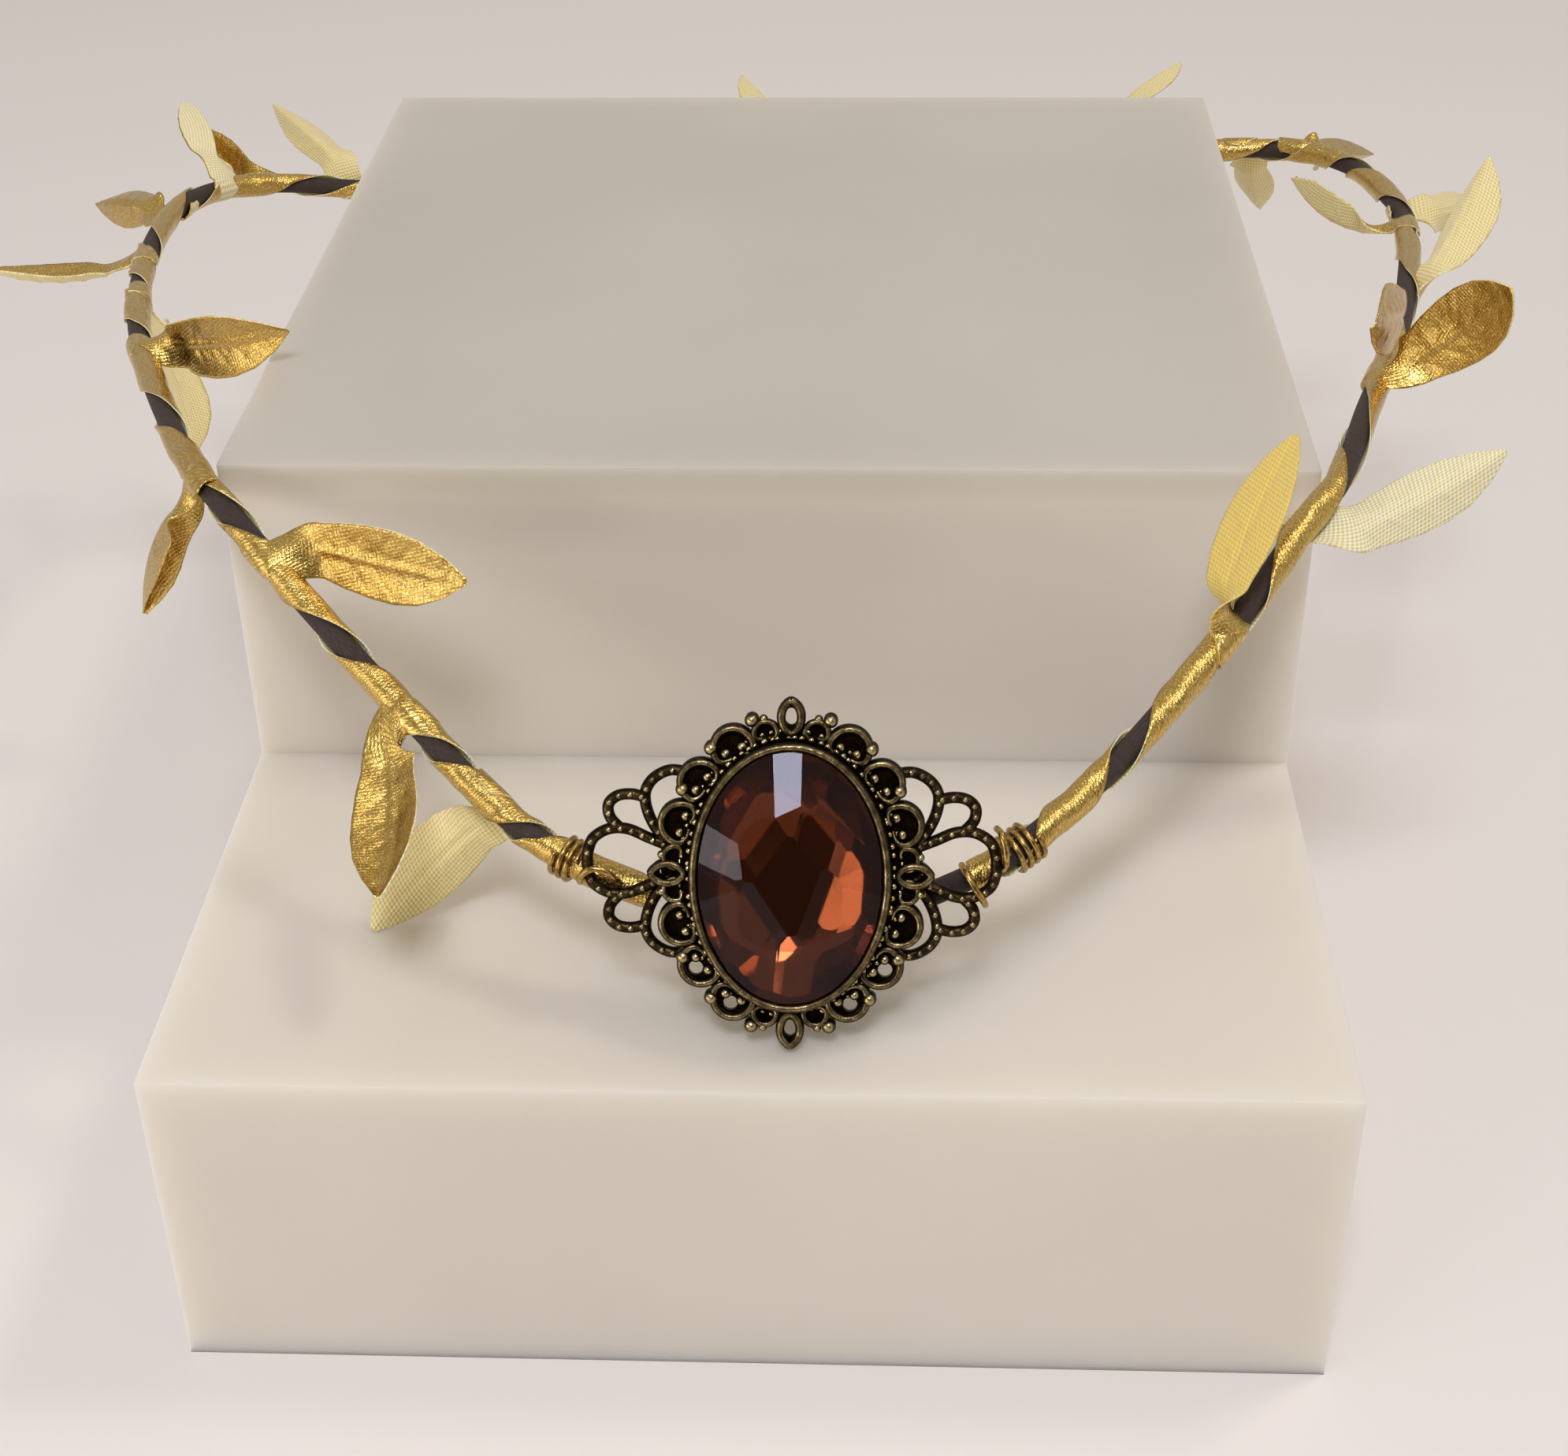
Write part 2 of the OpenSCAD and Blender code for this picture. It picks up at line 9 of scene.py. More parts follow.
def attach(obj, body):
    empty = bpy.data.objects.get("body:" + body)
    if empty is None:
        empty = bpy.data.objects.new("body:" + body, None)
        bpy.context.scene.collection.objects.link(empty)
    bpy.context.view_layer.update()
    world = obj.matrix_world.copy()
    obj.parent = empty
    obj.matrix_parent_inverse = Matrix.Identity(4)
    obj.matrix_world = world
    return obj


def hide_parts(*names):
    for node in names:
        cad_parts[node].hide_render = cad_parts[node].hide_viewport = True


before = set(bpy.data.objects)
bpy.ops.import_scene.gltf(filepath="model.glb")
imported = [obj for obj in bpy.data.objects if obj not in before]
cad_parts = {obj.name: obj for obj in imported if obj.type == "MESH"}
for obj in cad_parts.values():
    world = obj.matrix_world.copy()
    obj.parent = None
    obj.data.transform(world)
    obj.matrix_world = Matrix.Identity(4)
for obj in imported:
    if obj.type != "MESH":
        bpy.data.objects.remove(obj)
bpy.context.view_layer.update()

# Camera
# One camera stands in front of the block, above the ring, and looks down at it.
# Its place, angles and lens come from nine corners of the block in the photo.
MM = 0.001


def add_object(name, data):
    """An object for a mesh, a light or a camera, in the scene."""
    made = bpy.data.objects.new(name, data)
    bpy.context.scene.collection.objects.link(made)
    return made


camera_data = bpy.data.cameras.new("camera")
camera_data.lens = 55.614
camera_data.sensor_width = 36.0
camera_data.clip_start = 0.01
camera_data.clip_end = 20.0
camera = add_object("camera", camera_data)
eye = (12.586 * MM, -265.306 * MM, 197.33 * MM)
pitch, yaw, roll = math.radians(33.476), math.radians(-2.657), math.radians(-0.893)
look = Vector((math.sin(yaw) * math.cos(pitch), math.cos(yaw) * math.cos(pitch), -math.sin(pitch)))
level = Vector((math.cos(yaw), -math.sin(yaw), 0))
above = level.cross(look)
right = level * math.cos(roll) + above * math.sin(roll)
above = above * math.cos(roll) - level * math.sin(roll)
camera.matrix_world = Matrix(((right.x, above.x, -look.x, eye[0]), (right.y, above.y, -look.y, eye[1]),
                              (right.z, above.z, -look.z, eye[2]), (0, 0, 0, 1)))
bpy.context.scene.camera = camera

# Studio
# A plain pale floor in a pale room; a small window at the upper right, a wide low one at the front left, a cool
# lamp overhead, and a dim side of the room where the photographer stands.
def colour(code):
    """An sRGB hex colour as linear RGBA."""
    parts = [int(code[i:i + 2], 16) / 255 for i in (1, 3, 5)]
    return tuple(c / 12.92 if c <= 0.04045 else ((c + 0.055) / 1.055) ** 2.4 for c in parts) + (1.0,)


def node(tree, kind, settings=None, links=None, stops=()):
    """Adds one shader node: its attributes or input values, its incoming links, and a ramp's (place, hex) stops."""
    made = tree.nodes.new(kind)
    for key, value in (settings or {}).items():
        if isinstance(key, str) and hasattr(made, key) and key not in made.inputs:
            setattr(made, key, value)
        else:
            made.inputs[key].default_value = value
    for key, source in (links or {}).items():
        tree.links.new(source, made.inputs[key])
    while stops and len(made.color_ramp.elements) < len(stops):
        made.color_ramp.elements.new(0.5)
    for element, (place, code) in zip(made.color_ramp.elements if stops else (), stops):
        element.position = place
        element.color = colour(code)
    return made


def new_material(name):
    """An empty material with its output, ready for nodes."""
    material = bpy.data.materials.new(name)
    material.use_nodes = True
    tree = material.node_tree
    tree.nodes.clear()
    return material, tree, tree.nodes.new("ShaderNodeOutputMaterial")


def add_mesh(name, points, faces, materials, face_slots=None, uvs=None, smooth=True, body="root"):
    """A mesh from points in millimetres, with optional UVs per point, riding on a body."""
    mesh = bpy.data.meshes.new(name)
    mesh.from_pydata([tuple(p) for p in np.asarray(points) * MM], [], [tuple(int(i) for i in f) for f in faces])
    for material in materials:
        mesh.materials.append(material)
    if face_slots is not None:
        mesh.polygons.foreach_set("material_index", face_slots)
    if uvs is not None:
        layer = mesh.uv_layers.new(name="UVMap")
        loops = np.empty(len(mesh.loops), dtype=np.int32)
        mesh.loops.foreach_get("vertex_index", loops)
        layer.data.foreach_set("uv", np.asarray(uvs, dtype=float)[loops].ravel())
    mesh.polygons.foreach_set("use_smooth", [smooth] * len(mesh.polygons))
    mesh.update()
    made = add_object(name, mesh)
    if body:
        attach(made, body)
    return made


# A pale matt board: it gives the eye soft shadows and no mirror image
floor_material, tree, output = new_material("pale matt floor")
shade = node(tree, "ShaderNodeBsdfPrincipled", {"Base Color": colour("#E8E2DF"), "Roughness": 0.6})
tree.links.new(shade.outputs[0], output.inputs[0])
far = 3000
floor = add_mesh("floor", [(-far, -far, 0), (far, -far, 0), (far, far, 0), (-far, far, 0)], [(0, 1, 2, 3)],
                 [floor_material], smooth=False, body=None)
world = bpy.data.worlds.new("room")
bpy.context.scene.world = world
world.use_nodes = True
tree = world.node_tree
toward = node(tree, "ShaderNodeTexCoord")
front = node(tree, "ShaderNodeVectorMath", {"operation": "DOT_PRODUCT", 1: (0.035, -0.967, 0.245)},
             {0: toward.outputs["Generated"]})
dim = node(tree, "ShaderNodeMapRange", {"From Min": 0.76, "From Max": 0.81}, {"Value": front.outputs["Value"]})
walls = node(tree, "ShaderNodeValToRGB", links={"Fac": dim.outputs[0]}, stops=((0.0, "#F2EBE4"), (1.0, "#5A524A")))
tree.links.new(walls.outputs["Color"], tree.nodes["Background"].inputs["Color"])
tree.nodes["Background"].inputs["Strength"].default_value = 0.63
aim = (0, -0.05, 0.05)
for name, place, wide, high, watts, tint in (
        ("window", (0.36, 0.08, 0.80), 0.15, 0.12, 1.2, "#FFF6EA"),
        ("front left window", (-0.62, -0.52, 0.15), 0.60, 0.14, 1.6, "#FFF8F0"),
        ("lamp overhead", (-0.03, -0.62, 0.95), 0.24, 0.21, 5.2, "#F1F4FF")):
    light = bpy.data.lights.new(name, "AREA")
    light.shape = "RECTANGLE"
    light.size = wide
    light.size_y = high
    light.energy = watts
    light.color = colour(tint)[:3]
    lamp = add_object(name, light)
    lamp.location = place
    lamp.rotation_mode = "QUATERNION"
    lamp.rotation_quaternion = (Vector(aim) - Vector(place)).to_track_quat("-Z", "Y")
bpy.context.scene.view_settings.view_transform = "Standard"

# Display block
# One solid two-step block of frosted acrylic: light spreads inside it, so its faces differ little in tone.
# Fine sanding marks, a few specks of dirt and softly broken edges show that it has been used.

# Frosted acrylic: a sanded face over a clear, faintly yellow inside gives a soft, even glow with no mirror image.
# The faint clouds are about 70 mm across, the grain 0.7 mm and the sanding strokes 1 by 17 mm; the real grain is
# finer, and is drawn as coarse as it needs to show.
acrylic, tree, output = new_material("frosted acrylic")
where = node(tree, "ShaderNodeTexCoord").outputs["Object"]
clouds = node(tree, "ShaderNodeTexNoise", {"Scale": 14.0, "Detail": 3.0}, {"Vector": where}).outputs["Fac"]
specks = node(tree, "ShaderNodeTexVoronoi", {"Scale": 42.0}, {"Vector": where})
chosen = node(tree, "ShaderNodeSeparateColor", {}, {"Color": specks.outputs["Color"]})
speck_r = node(tree, "ShaderNodeMapRange", {"From Min": 0.9, "To Min": 0.0, "To Max": 0.055},
               {"Value": chosen.outputs[0]})
spot = node(tree, "ShaderNodeMath", {"operation": "LESS_THAN"},
            {0: specks.outputs["Distance"], 1: speck_r.outputs[0]})
tone = node(tree, "ShaderNodeValToRGB", links={"Fac": clouds}, stops=((0.3, "#D5CEC2"), (0.7, "#DED7CB")))
# Painted shade: the top face, and the rim just under it, are made a shade darker than the sides
height = node(tree, "ShaderNodeSeparateXYZ", {}, {"Vector": where})
upper = node(tree, "ShaderNodeMapRange", {"From Min": 0.072, "From Max": 0.0762}, {"Value": height.outputs["Z"]})
thick = node(tree, "ShaderNodeMix", {"data_type": "RGBA", "blend_type": "MULTIPLY", 7: colour("#E0E0E0")},
             {0: upper.outputs[0], 6: tone.outputs["Color"]})
dirt = node(tree, "ShaderNodeMix", {"data_type": "RGBA", 7: colour("#8E7D6C")},
            {0: spot.outputs[0], 6: thick.outputs[2]})
grain = node(tree, "ShaderNodeTexNoise", {"Scale": 1400.0, "Detail": 2.0}, {"Vector": where})
sanded = node(tree, "ShaderNodeMapping", {"Scale": (60.0, 60.0, 900.0)}, {"Vector": where})
strokes = node(tree, "ShaderNodeTexNoise", {"Scale": 1.0, "Detail": 4.0}, {"Vector": sanded.outputs[0]})
bump = node(tree, "ShaderNodeBump", {"Strength": 0.12, "Distance": 0.0001}, {"Height": grain.outputs["Fac"]})
bump_2 = node(tree, "ShaderNodeBump", {"Strength": 0.06, "Distance": 0.0002},
              {"Height": strokes.outputs["Fac"], "Normal": bump.outputs["Normal"]})
rough = node(tree, "ShaderNodeMapRange", {"To Min": 0.42, "To Max": 0.58}, {"Value": clouds})
shade = node(tree, "ShaderNodeBsdfPrincipled", {"IOR": 1.49, "Subsurface Weight": 0.7,
                                                "Subsurface Radius": (1.0, 0.92, 0.74), "Subsurface Scale": 0.009},
             {"Base Color": dirt.outputs[2], "Roughness": rough.outputs[0], "Normal": bump_2.outputs["Normal"]})
tree.links.new(shade.outputs[0], output.inputs[0])
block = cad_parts["display_block"]
block.data.materials.clear()
block.data.materials.append(acrylic)
bevel = block.modifiers.new("broken edges", "BEVEL")
bevel.width = 0.6 * MM
bevel.segments = 3
bevel.limit_method = "ANGLE"

# Head ring
# The one bent cord gives the whole crown its curve: it starts behind the brooch's left wing, rests on the
# block's two front corners, goes round the back and comes in again behind the right wing.
half_w, riser_y, front_y, back_y, top_z, step_z = 60.0, -31.0, -89.0, 89.0, 76.0, 38.0
# Radius over the ribbon, radius at which pieces rest on it, and the gap between pieces that touch
over_r, rest_r, touch = 1.8, 1.95, 0.15
# The brooch leans back on its lower tip: tip_in behind the block's front, tip_down below the brooch's middle
brooch_x, lean, tip_in, tip_down = 4.2, math.radians(65), 7.1, 17.5
filigree_w, filigree_h, filigree_t, filigree_up = 41.4, 19.2, 1.1, 0.8
brooch_y = front_y + tip_in + tip_down * math.cos(lean)
brooch_z = step_z + touch + tip_down * math.sin(lean)


def unit(v):
    return v / np.linalg.norm(v)


def lengths_along(line):
    """Distance along a line of points at each of them."""
    return np.concatenate([[0], np.cumsum(np.linalg.norm(np.diff(line, axis=0), axis=1))])


def on_brooch(points):
    """Points given in the brooch (right, up its face, out of its face) as places in the part's frame."""
    p = np.asarray(points, dtype=float).reshape(-1, 3)
    return np.column_stack([brooch_x + p[:, 0], brooch_y + p[:, 1] * math.cos(lean) - p[:, 2] * math.sin(lean),
                            brooch_z + p[:, 1] * math.sin(lean) + p[:, 2] * math.cos(lean)])


tuck_w = -touch - filigree_t - 2 * touch - over_r
left_tuck = on_brooch([(a * filigree_w / 2, filigree_up + b * filigree_h / 2, tuck_w)
                       for a, b in ((-0.64, -0.43), (-0.83, -0.28), (-1, -0.13))])
right_tuck = on_brooch([(a * filigree_w / 2, filigree_up + b * filigree_h / 2, tuck_w)
                        for a, b in ((1.05, 0.06), (0.86, -0.18), (0.65, -0.39))])
# How far the cord lies below the block's top at the corners, how much lower it hangs at the back end of each
# side, its outermost places, and how far its sides reach back and the back bows out
left_drop, right_drop, left_sag, right_sag = 1.2, 0.9, 14.5, 9.1
left_most, right_most, side_depth, back_bow = -90.4, 84.9, 120, 6.4
left_corner = np.array([-half_w + rest_r * math.cos(math.radians(210)),
                        riser_y + rest_r * math.sin(math.radians(210)), top_z - left_drop])
right_corner = np.array([half_w + rest_r * math.cos(math.radians(-21)),
                         riser_y + rest_r * math.sin(math.radians(-21)), top_z - right_drop])
left_arm = ((0.17, 0.10, 0.12), (0.42, 0.34, 0.39), (0.69, 0.62, 0.69), (0.87, 0.82, 0.91))
right_arm = ((0.21, 0.15, 0.16), (0.43, 0.34, 0.38), (0.70, 0.62, 0.69), (0.87, 0.82, 0.92))
left_side = ((0.28, 0.13, 0.055), (0.63, 0.34, 0.18), (0.82, 0.50, 0.29), (0.945, 0.66, 0.42),
             (1, 0.79, 0.54), (0.97, 0.89, 0.65), (0.86, 0.965, 0.78), (0.62, 1.012, 0.90))
right_side = ((0.26, 0.149, 0.055), (0.61, 0.356, 0.21), (0.85, 0.556, 0.41), (0.952, 0.668, 0.53),
              (1, 0.772, 0.63), (0.96, 0.869, 0.74), (0.86, 0.953, 0.83), (0.60, 1.022, 0.92))
back = ((-1.05, 0.55, 0), (-0.5, 0.87, 0.2), (0, 1, 0.42), (0.5, 0.98, 0.7), (1.06, 0.8, 1))
left_low, right_low = top_z - left_drop - left_sag, top_z - right_drop - right_sag
route = np.array(
    list(left_tuck)
    + [left_tuck[2] + np.array(r) * (left_corner - left_tuck[2]) for r in left_arm] + [left_corner]
    + [(left_corner[0] + a * (left_most - left_corner[0]), riser_y + b * side_depth,
        top_z - left_drop - c * left_sag) for a, b, c in left_side]
    + [(a * half_w, back_y + b * back_bow, left_low + c * (right_low - left_low)) for a, b, c in back]
    + [(right_corner[0] + a * (right_most - right_corner[0]), riser_y + b * side_depth,
        top_z - right_drop - c * right_sag) for a, b, c in right_side[::-1]]
    + [right_corner] + [right_tuck[0] + np.array(r) * (right_corner - right_tuck[0]) for r in right_arm[::-1]]
    + list(right_tuck))
knots = lengths_along(route)
ring_length = knots[-1]
last = len(route) - 1
slopes = np.array([(route[min(i + 1, last)] - route[max(i - 1, 0)])
                   / (knots[min(i + 1, last)] - knots[max(i - 1, 0)]) for i in range(last + 1)])


def cord_at(share):
    """Place on the cord's centre line; share 0 is its left end and 1 its right end."""
    k = share * ring_length
    i = min(max(int(np.searchsorted(knots, k, side="right")) - 1, 0), last - 1)
    h = knots[i + 1] - knots[i]
    t = (k - knots[i]) / h
    return (route[i] * (1 + 2 * t) * (1 - t) ** 2 + slopes[i] * h * t * (1 - t) ** 2
            + route[i + 1] * t * t * (3 - 2 * t) + slopes[i + 1] * h * t * t * (t - 1))


def cord_dir(share):
    return unit(cord_at(min(share + 0.001, 1)) - cord_at(max(share - 0.001, 0)))


# The side of the cord that faces the viewer: forward and 37 degrees up
face_dir = np.array([0, -math.cos(math.radians(37)), math.sin(math.radians(37))])


def cord_frame(share):
    """Centre, direction, outward side that faces the front, and the side over it."""
    along = cord_dir(share)
    out = unit(face_dir - (face_dir @ along) * along)
    return cord_at(share), along, out, np.cross(along, out)


# Stem
# One dark brown waxed cord over wire, bent to the ring by hand. Its fibres run along it, and it is matt, with
# dull worn streaks and small lumps.
def loft(sections, caps=True):
    """Points and faces of a tube over equal rings of points, with or without its ends."""
    n = len(sections[0])
    count = len(sections)
    faces = [(i * n + j, i * n + (j + 1) % n, (i + 1) * n + (j + 1) % n, (i + 1) * n + j)
             for i in range(count - 1) for j in range(n)]
    if caps:
        faces += [tuple(range(n - 1, -1, -1)), tuple((count - 1) * n + j for j in range(n))]
    return np.concatenate(sections), faces


def between(rows, a):
    """The row at place a, blended from the two rows beside it."""
    k = int(a)
    return rows[k] * (1 - a + k) + rows[k + 1] * (a - k)


def spokes(angles, out, over):
    """Unit vectors at these angles, from out toward over."""
    return np.cos(angles)[:, None] * out + np.sin(angles)[:, None] * over


# Waxed cord: dark, matt fibres with a dull shine where the wax is rubbed; the fibres are 0.1 mm wide streaks
stem_material, tree, output = new_material("dark brown waxed cord")
uv = node(tree, "ShaderNodeTexCoord").outputs["UV"]
stretch = node(tree, "ShaderNodeMapping", {"Scale": (1.2, 9.0, 1.0)}, {"Vector": uv})
fibres = node(tree, "ShaderNodeTexNoise", {"Scale": 1.0, "Detail": 6.0, "Roughness": 0.65},
              {"Vector": stretch.outputs[0]}).outputs["Fac"]
blotch = node(tree, "ShaderNodeTexNoise", {"Scale": 0.25, "Detail": 3.0}, {"Vector": uv})
tone = node(tree, "ShaderNodeValToRGB", links={"Fac": fibres},
            stops=((0.3, "#241916"), (0.55, "#3C2D28"), (0.8, "#5E4C44")))
bump = node(tree, "ShaderNodeBump", {"Strength": 0.6, "Distance": 0.00025}, {"Height": fibres})
rough = node(tree, "ShaderNodeMapRange", {"To Min": 0.5, "To Max": 0.8}, {"Value": blotch.outputs["Fac"]})
shade = node(tree, "ShaderNodeBsdfPrincipled", {"Specular IOR Level": 0.4},
             {"Base Color": tone.outputs["Color"], "Roughness": rough.outputs[0],
              "Normal": bump.outputs["Normal"]})
tree.links.new(shade.outputs[0], output.inputs[0])
rng = np.random.default_rng(4)
sections, uvs = [], []
stem_r, stem_steps, stem_sides, lump_rows = 1.25, 700, 16, 90
lumps = rng.normal(0, 1, (lump_rows, stem_sides))
for i in range(stem_steps + 1):
    share = i / stem_steps
    centre, _, out, over = cord_frame(share)
    angles = -np.arange(stem_sides) * 2 * math.pi / stem_sides
    radii = stem_r + 0.018 * between(lumps, share * (lump_rows - 2))
    sections.append(centre + radii[:, None] * spokes(angles, out, over))
    uvs += [(share * ring_length, abs(j - stem_sides / 2) * 0.49) for j in range(stem_sides)]
points, faces = loft(sections)
stem = add_mesh("stem_cord", points, faces, [stem_material], uvs=uvs)
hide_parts("stem")

# Foil ribbon
# A woven ribbon with gold foil on its outer face, wound left-handed with bare cord between the turns. It is
# creased, and its weave shows through the foil.
def stitches(tree, uv, turn_, long_, wide_):
    """Offset rows of round-backed stitches over the UVs, 1 on their tops and 0 between; sizes in millimetres."""
    turned_ = node(tree, "ShaderNodeMapping", {"Rotation": (0, 0, math.radians(turn_))}, {"Vector": uv})
    split = node(tree, "ShaderNodeSeparateXYZ", {}, {"Vector": turned_.outputs[0]})
    waves = []
    for axis, pitch_ in ((0, long_), (1, wide_)):
        phase = node(tree, "ShaderNodeMath", {"operation": "MULTIPLY", 1: 2 * math.pi / pitch_},
                     {0: split.outputs[axis]})
        waves.append(node(tree, "ShaderNodeMath", {"operation": "COSINE"}, {0: phase.outputs[0]}))
    both = node(tree, "ShaderNodeMath", {"operation": "MULTIPLY"}, {0: waves[0].outputs[0], 1: waves[1].outputs[0]})
    return node(tree, "ShaderNodeMath", {"operation": "MULTIPLY_ADD", 1: 0.5, 2: 0.5},
                {0: both.outputs[0]}).outputs[0]


# Gold foil pressed on woven cloth: bright creased metal that glitters in small grains, 0.3 mm wide, where the
# stitches' tops have polished it. The stitches are 0.62 by 0.5 mm and the creases about 4 mm apart.
foil, tree, output = new_material("gold foil on woven cloth")
uv = node(tree, "ShaderNodeTexCoord").outputs["UV"]
weave = stitches(tree, uv, 62, 0.62, 0.5)
creases = node(tree, "ShaderNodeTexNoise", {"Scale": 0.24, "Detail": 2.0, "Roughness": 0.5, "Distortion": 0.3},
               {"Vector": uv})
glitter = node(tree, "ShaderNodeTexNoise", {"Scale": 3.6, "Detail": 3.0, "Roughness": 0.65},
               {"Vector": uv}).outputs["Fac"]
worn = node(tree, "ShaderNodeMath", {"operation": "MULTIPLY"}, {0: weave, 1: glitter}).outputs[0]
bump = node(tree, "ShaderNodeBump", {"Strength": 1.0, "Distance": 0.0007}, {"Height": creases.outputs["Fac"]})
bump_2 = node(tree, "ShaderNodeBump", {"Strength": 1.0, "Distance": 0.00006},
              {"Height": worn, "Normal": bump.outputs["Normal"]})
bump_3 = node(tree, "ShaderNodeBump", {"Strength": 0.7, "Distance": 0.00007},
              {"Height": glitter, "Normal": bump_2.outputs["Normal"]})
tone = node(tree, "ShaderNodeValToRGB", links={"Fac": glitter},
            stops=((0.3, "#A88540"), (0.5, "#CBA856"), (0.7, "#F0DA92")))
rough = node(tree, "ShaderNodeMapRange", {"From Min": 0.0, "From Max": 0.6, "To Min": 0.28, "To Max": 0.14},
             {"Value": worn})
shade = node(tree, "ShaderNodeBsdfPrincipled", {"Metallic": 1.0, "Coat Weight": 0.12, "Coat Roughness": 0.1},
             {"Base Color": tone.outputs["Color"], "Roughness": rough.outputs[0],
              "Normal": bump_3.outputs["Normal"]})
tree.links.new(shade.outputs[0], output.inputs[0])

# The cloth's bare side: soft pale yellow twill that light partly passes through. Its ribs are 0.8 by 0.52 mm,
# coarser than the real threads so that they show, and a per-leaf attribute blends in a deeper yellow: a painted shade
# for the leaves that lie in shade.
cloth, tree, output = new_material("pale yellow twill cloth")
uv = node(tree, "ShaderNodeTexCoord").outputs["UV"]
weave = stitches(tree, uv, -38, 0.8, 0.52)
soft = node(tree, "ShaderNodeTexNoise", {"Scale": 0.35, "Detail": 4.0}, {"Vector": uv})
pale = node(tree, "ShaderNodeValToRGB", links={"Fac": weave},
            stops=((0.1, "#DAC47A"), (0.45, "#EFE1A8"), (0.8, "#FFFDEE")))
shaded_yellow = node(tree, "ShaderNodeValToRGB", links={"Fac": weave},
            stops=((0.1, "#D6B34C"), (0.5, "#E1C364"), (0.85, "#EAD07A")))
# Painted shade: each leaf's attribute blends the pale twill toward the deeper, shaded yellow
painted_shade = node(tree, "ShaderNodeAttribute", {"attribute_name": "painted_shade"})
threads = node(tree, "ShaderNodeMix", {"data_type": "RGBA"},
               {0: painted_shade.outputs["Fac"], 6: pale.outputs["Color"], 7: shaded_yellow.outputs["Color"]})
bump = node(tree, "ShaderNodeBump", {"Strength": 0.8, "Distance": 0.00012}, {"Height": weave})
rough = node(tree, "ShaderNodeMapRange", {"To Min": 0.3, "To Max": 0.5}, {"Value": soft.outputs["Fac"]})
shade = node(tree, "ShaderNodeBsdfPrincipled", {"Sheen Weight": 0.2, "Subsurface Weight": 0.3,
                                                "Subsurface Radius": (1.0, 0.8, 0.35), "Subsurface Scale": 0.0012},
             {"Base Color": threads.outputs[2], "Roughness": rough.outputs[0], "Normal": bump.outputs["Normal"]})
tree.links.new(shade.outputs[0], output.inputs[0])


# How far along the cord each turn of the ribbon crosses its front, read from the photo: turn, share of the cord
turn_table = np.array(((-2, -0.04), (-0.3, 0), (1, 0.027), (2, 0.048), (3, 0.08), (4, 0.117), (5, 0.16), (6, 0.215),
                       (7, 0.247), (8, 0.282), (9, 0.338), (10, 0.378), (17, 0.645), (18, 0.67), (19, 0.717),
                       (20, 0.778), (21, 0.873), (22, 0.917), (23, 0.957), (24, 0.982), (27, 1.05)))


def share_at(turns):
    """Share of the cord that the ribbon has reached after so many turns."""
    read = [float(np.interp(turns + d, turn_table[:, 0], turn_table[:, 1])) for d in (-0.4, 0, 0.4)]
    return (read[0] + 2 * read[1] + read[2]) / 4


ribbon_w, ribbon_r, ribbon_t, strips = 5.6, 1.56, 0.14, 14
end_l, end_w, widest_arc = 8.3, 4.8, math.radians(285)


def ribbon_end():
    """The ribbon's free end, laid along the front of the cord behind the left wing."""
    made, places = [], []
    for t in np.linspace(0, 1, 60):
        centre, _, out, over = cord_frame(0.001 + 0.015 * t)
        arc = math.radians(175) * math.sqrt(min(1, 0.08 + 4 * t, 0.08 + 6 * (1 - t)))
        angle = math.radians(-14 + 20 * t) + arc * np.linspace(-0.5, 0.5, strips + 1)
        ring = spokes(angle, out, over)
        made.append(np.concatenate([centre + (ribbon_r + 0.16) * ring, centre + (ribbon_r + 0.03) * ring[::-1]]))
        places += [(t * end_l, x * end_w) for x in np.linspace(-0.5, 0.5, strips + 1)]
        places += [(t * end_l, x * end_w) for x in np.linspace(0.5, -0.5, strips + 1)]
    return made, places


first, final, count, wobble_rows = 0.1, 24.4, 1300, 200
wobble = rng.normal(0, 1, (wobble_rows, 4))
sections, uvs, travelled, before = [], [], 0.0, None
for i in range(count + 1):
    turns = first + (final - first) * i / count
    share = share_at(turns)
    centre, _, out, over = cord_frame(share)
    advance = (share_at(turns + 0.1) - share_at(turns - 0.1)) / 0.2 * ring_length
    arc = min(ribbon_w * math.sqrt(1 + (2 * math.pi * ribbon_r / advance) ** 2) / ribbon_r, widest_arc)
    wave = between(wobble, i / count * (wobble_rows - 2))
    arc *= 1 + 0.04 * wave[0]
    middle = math.pi - 2 * math.pi * turns + 0.06 * wave[1]
    across = np.linspace(-0.5, 0.5, strips + 1)
    angle = middle + arc * across
    lift = (ribbon_r + 0.05 * wave[2] * np.cos(across * 9) + 0.05 * wave[3] * np.sin(across * 7)
            + 0.1 * (2 * across) ** 4)
    ring = spokes(angle, out, over)
    sections.append(np.concatenate([centre + (lift + ribbon_t / 2)[:, None] * ring,
                                    centre + (lift - ribbon_t / 2)[::-1, None] * ring[::-1]]))
    middle_point = sections[-1][strips // 2]
    if before is not None:
        travelled += np.linalg.norm(middle_point - before)
    before = middle_point
    uvs += [(travelled, x * ribbon_w) for x in across] + [(travelled, x * ribbon_w) for x in across[::-1]]
n = 2 * (strips + 1)
for name, sections, uvs in (("ribbon_wrap", sections, uvs), ("ribbon_end", *ribbon_end())):
    points, faces = loft(sections)
    slots = [0 if (f % n) < strips else 1 for f in range(len(faces) - 2)] + [1, 1]
    ribbon = add_mesh(name, points, faces, [foil, cloth], face_slots=slots, uvs=uvs)
    if name == "ribbon_wrap":
        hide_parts("ribbon")

# Leaves
# Cut from the same foil faced cloth, gold above and pale twill below, with a pressed midrib and side veins.
# Each leaf's foot is a narrow strip that winds with the ribbon and opens into the blade where it leaves the cord.
leaf_l, leaf_w = 21.0, 8.6
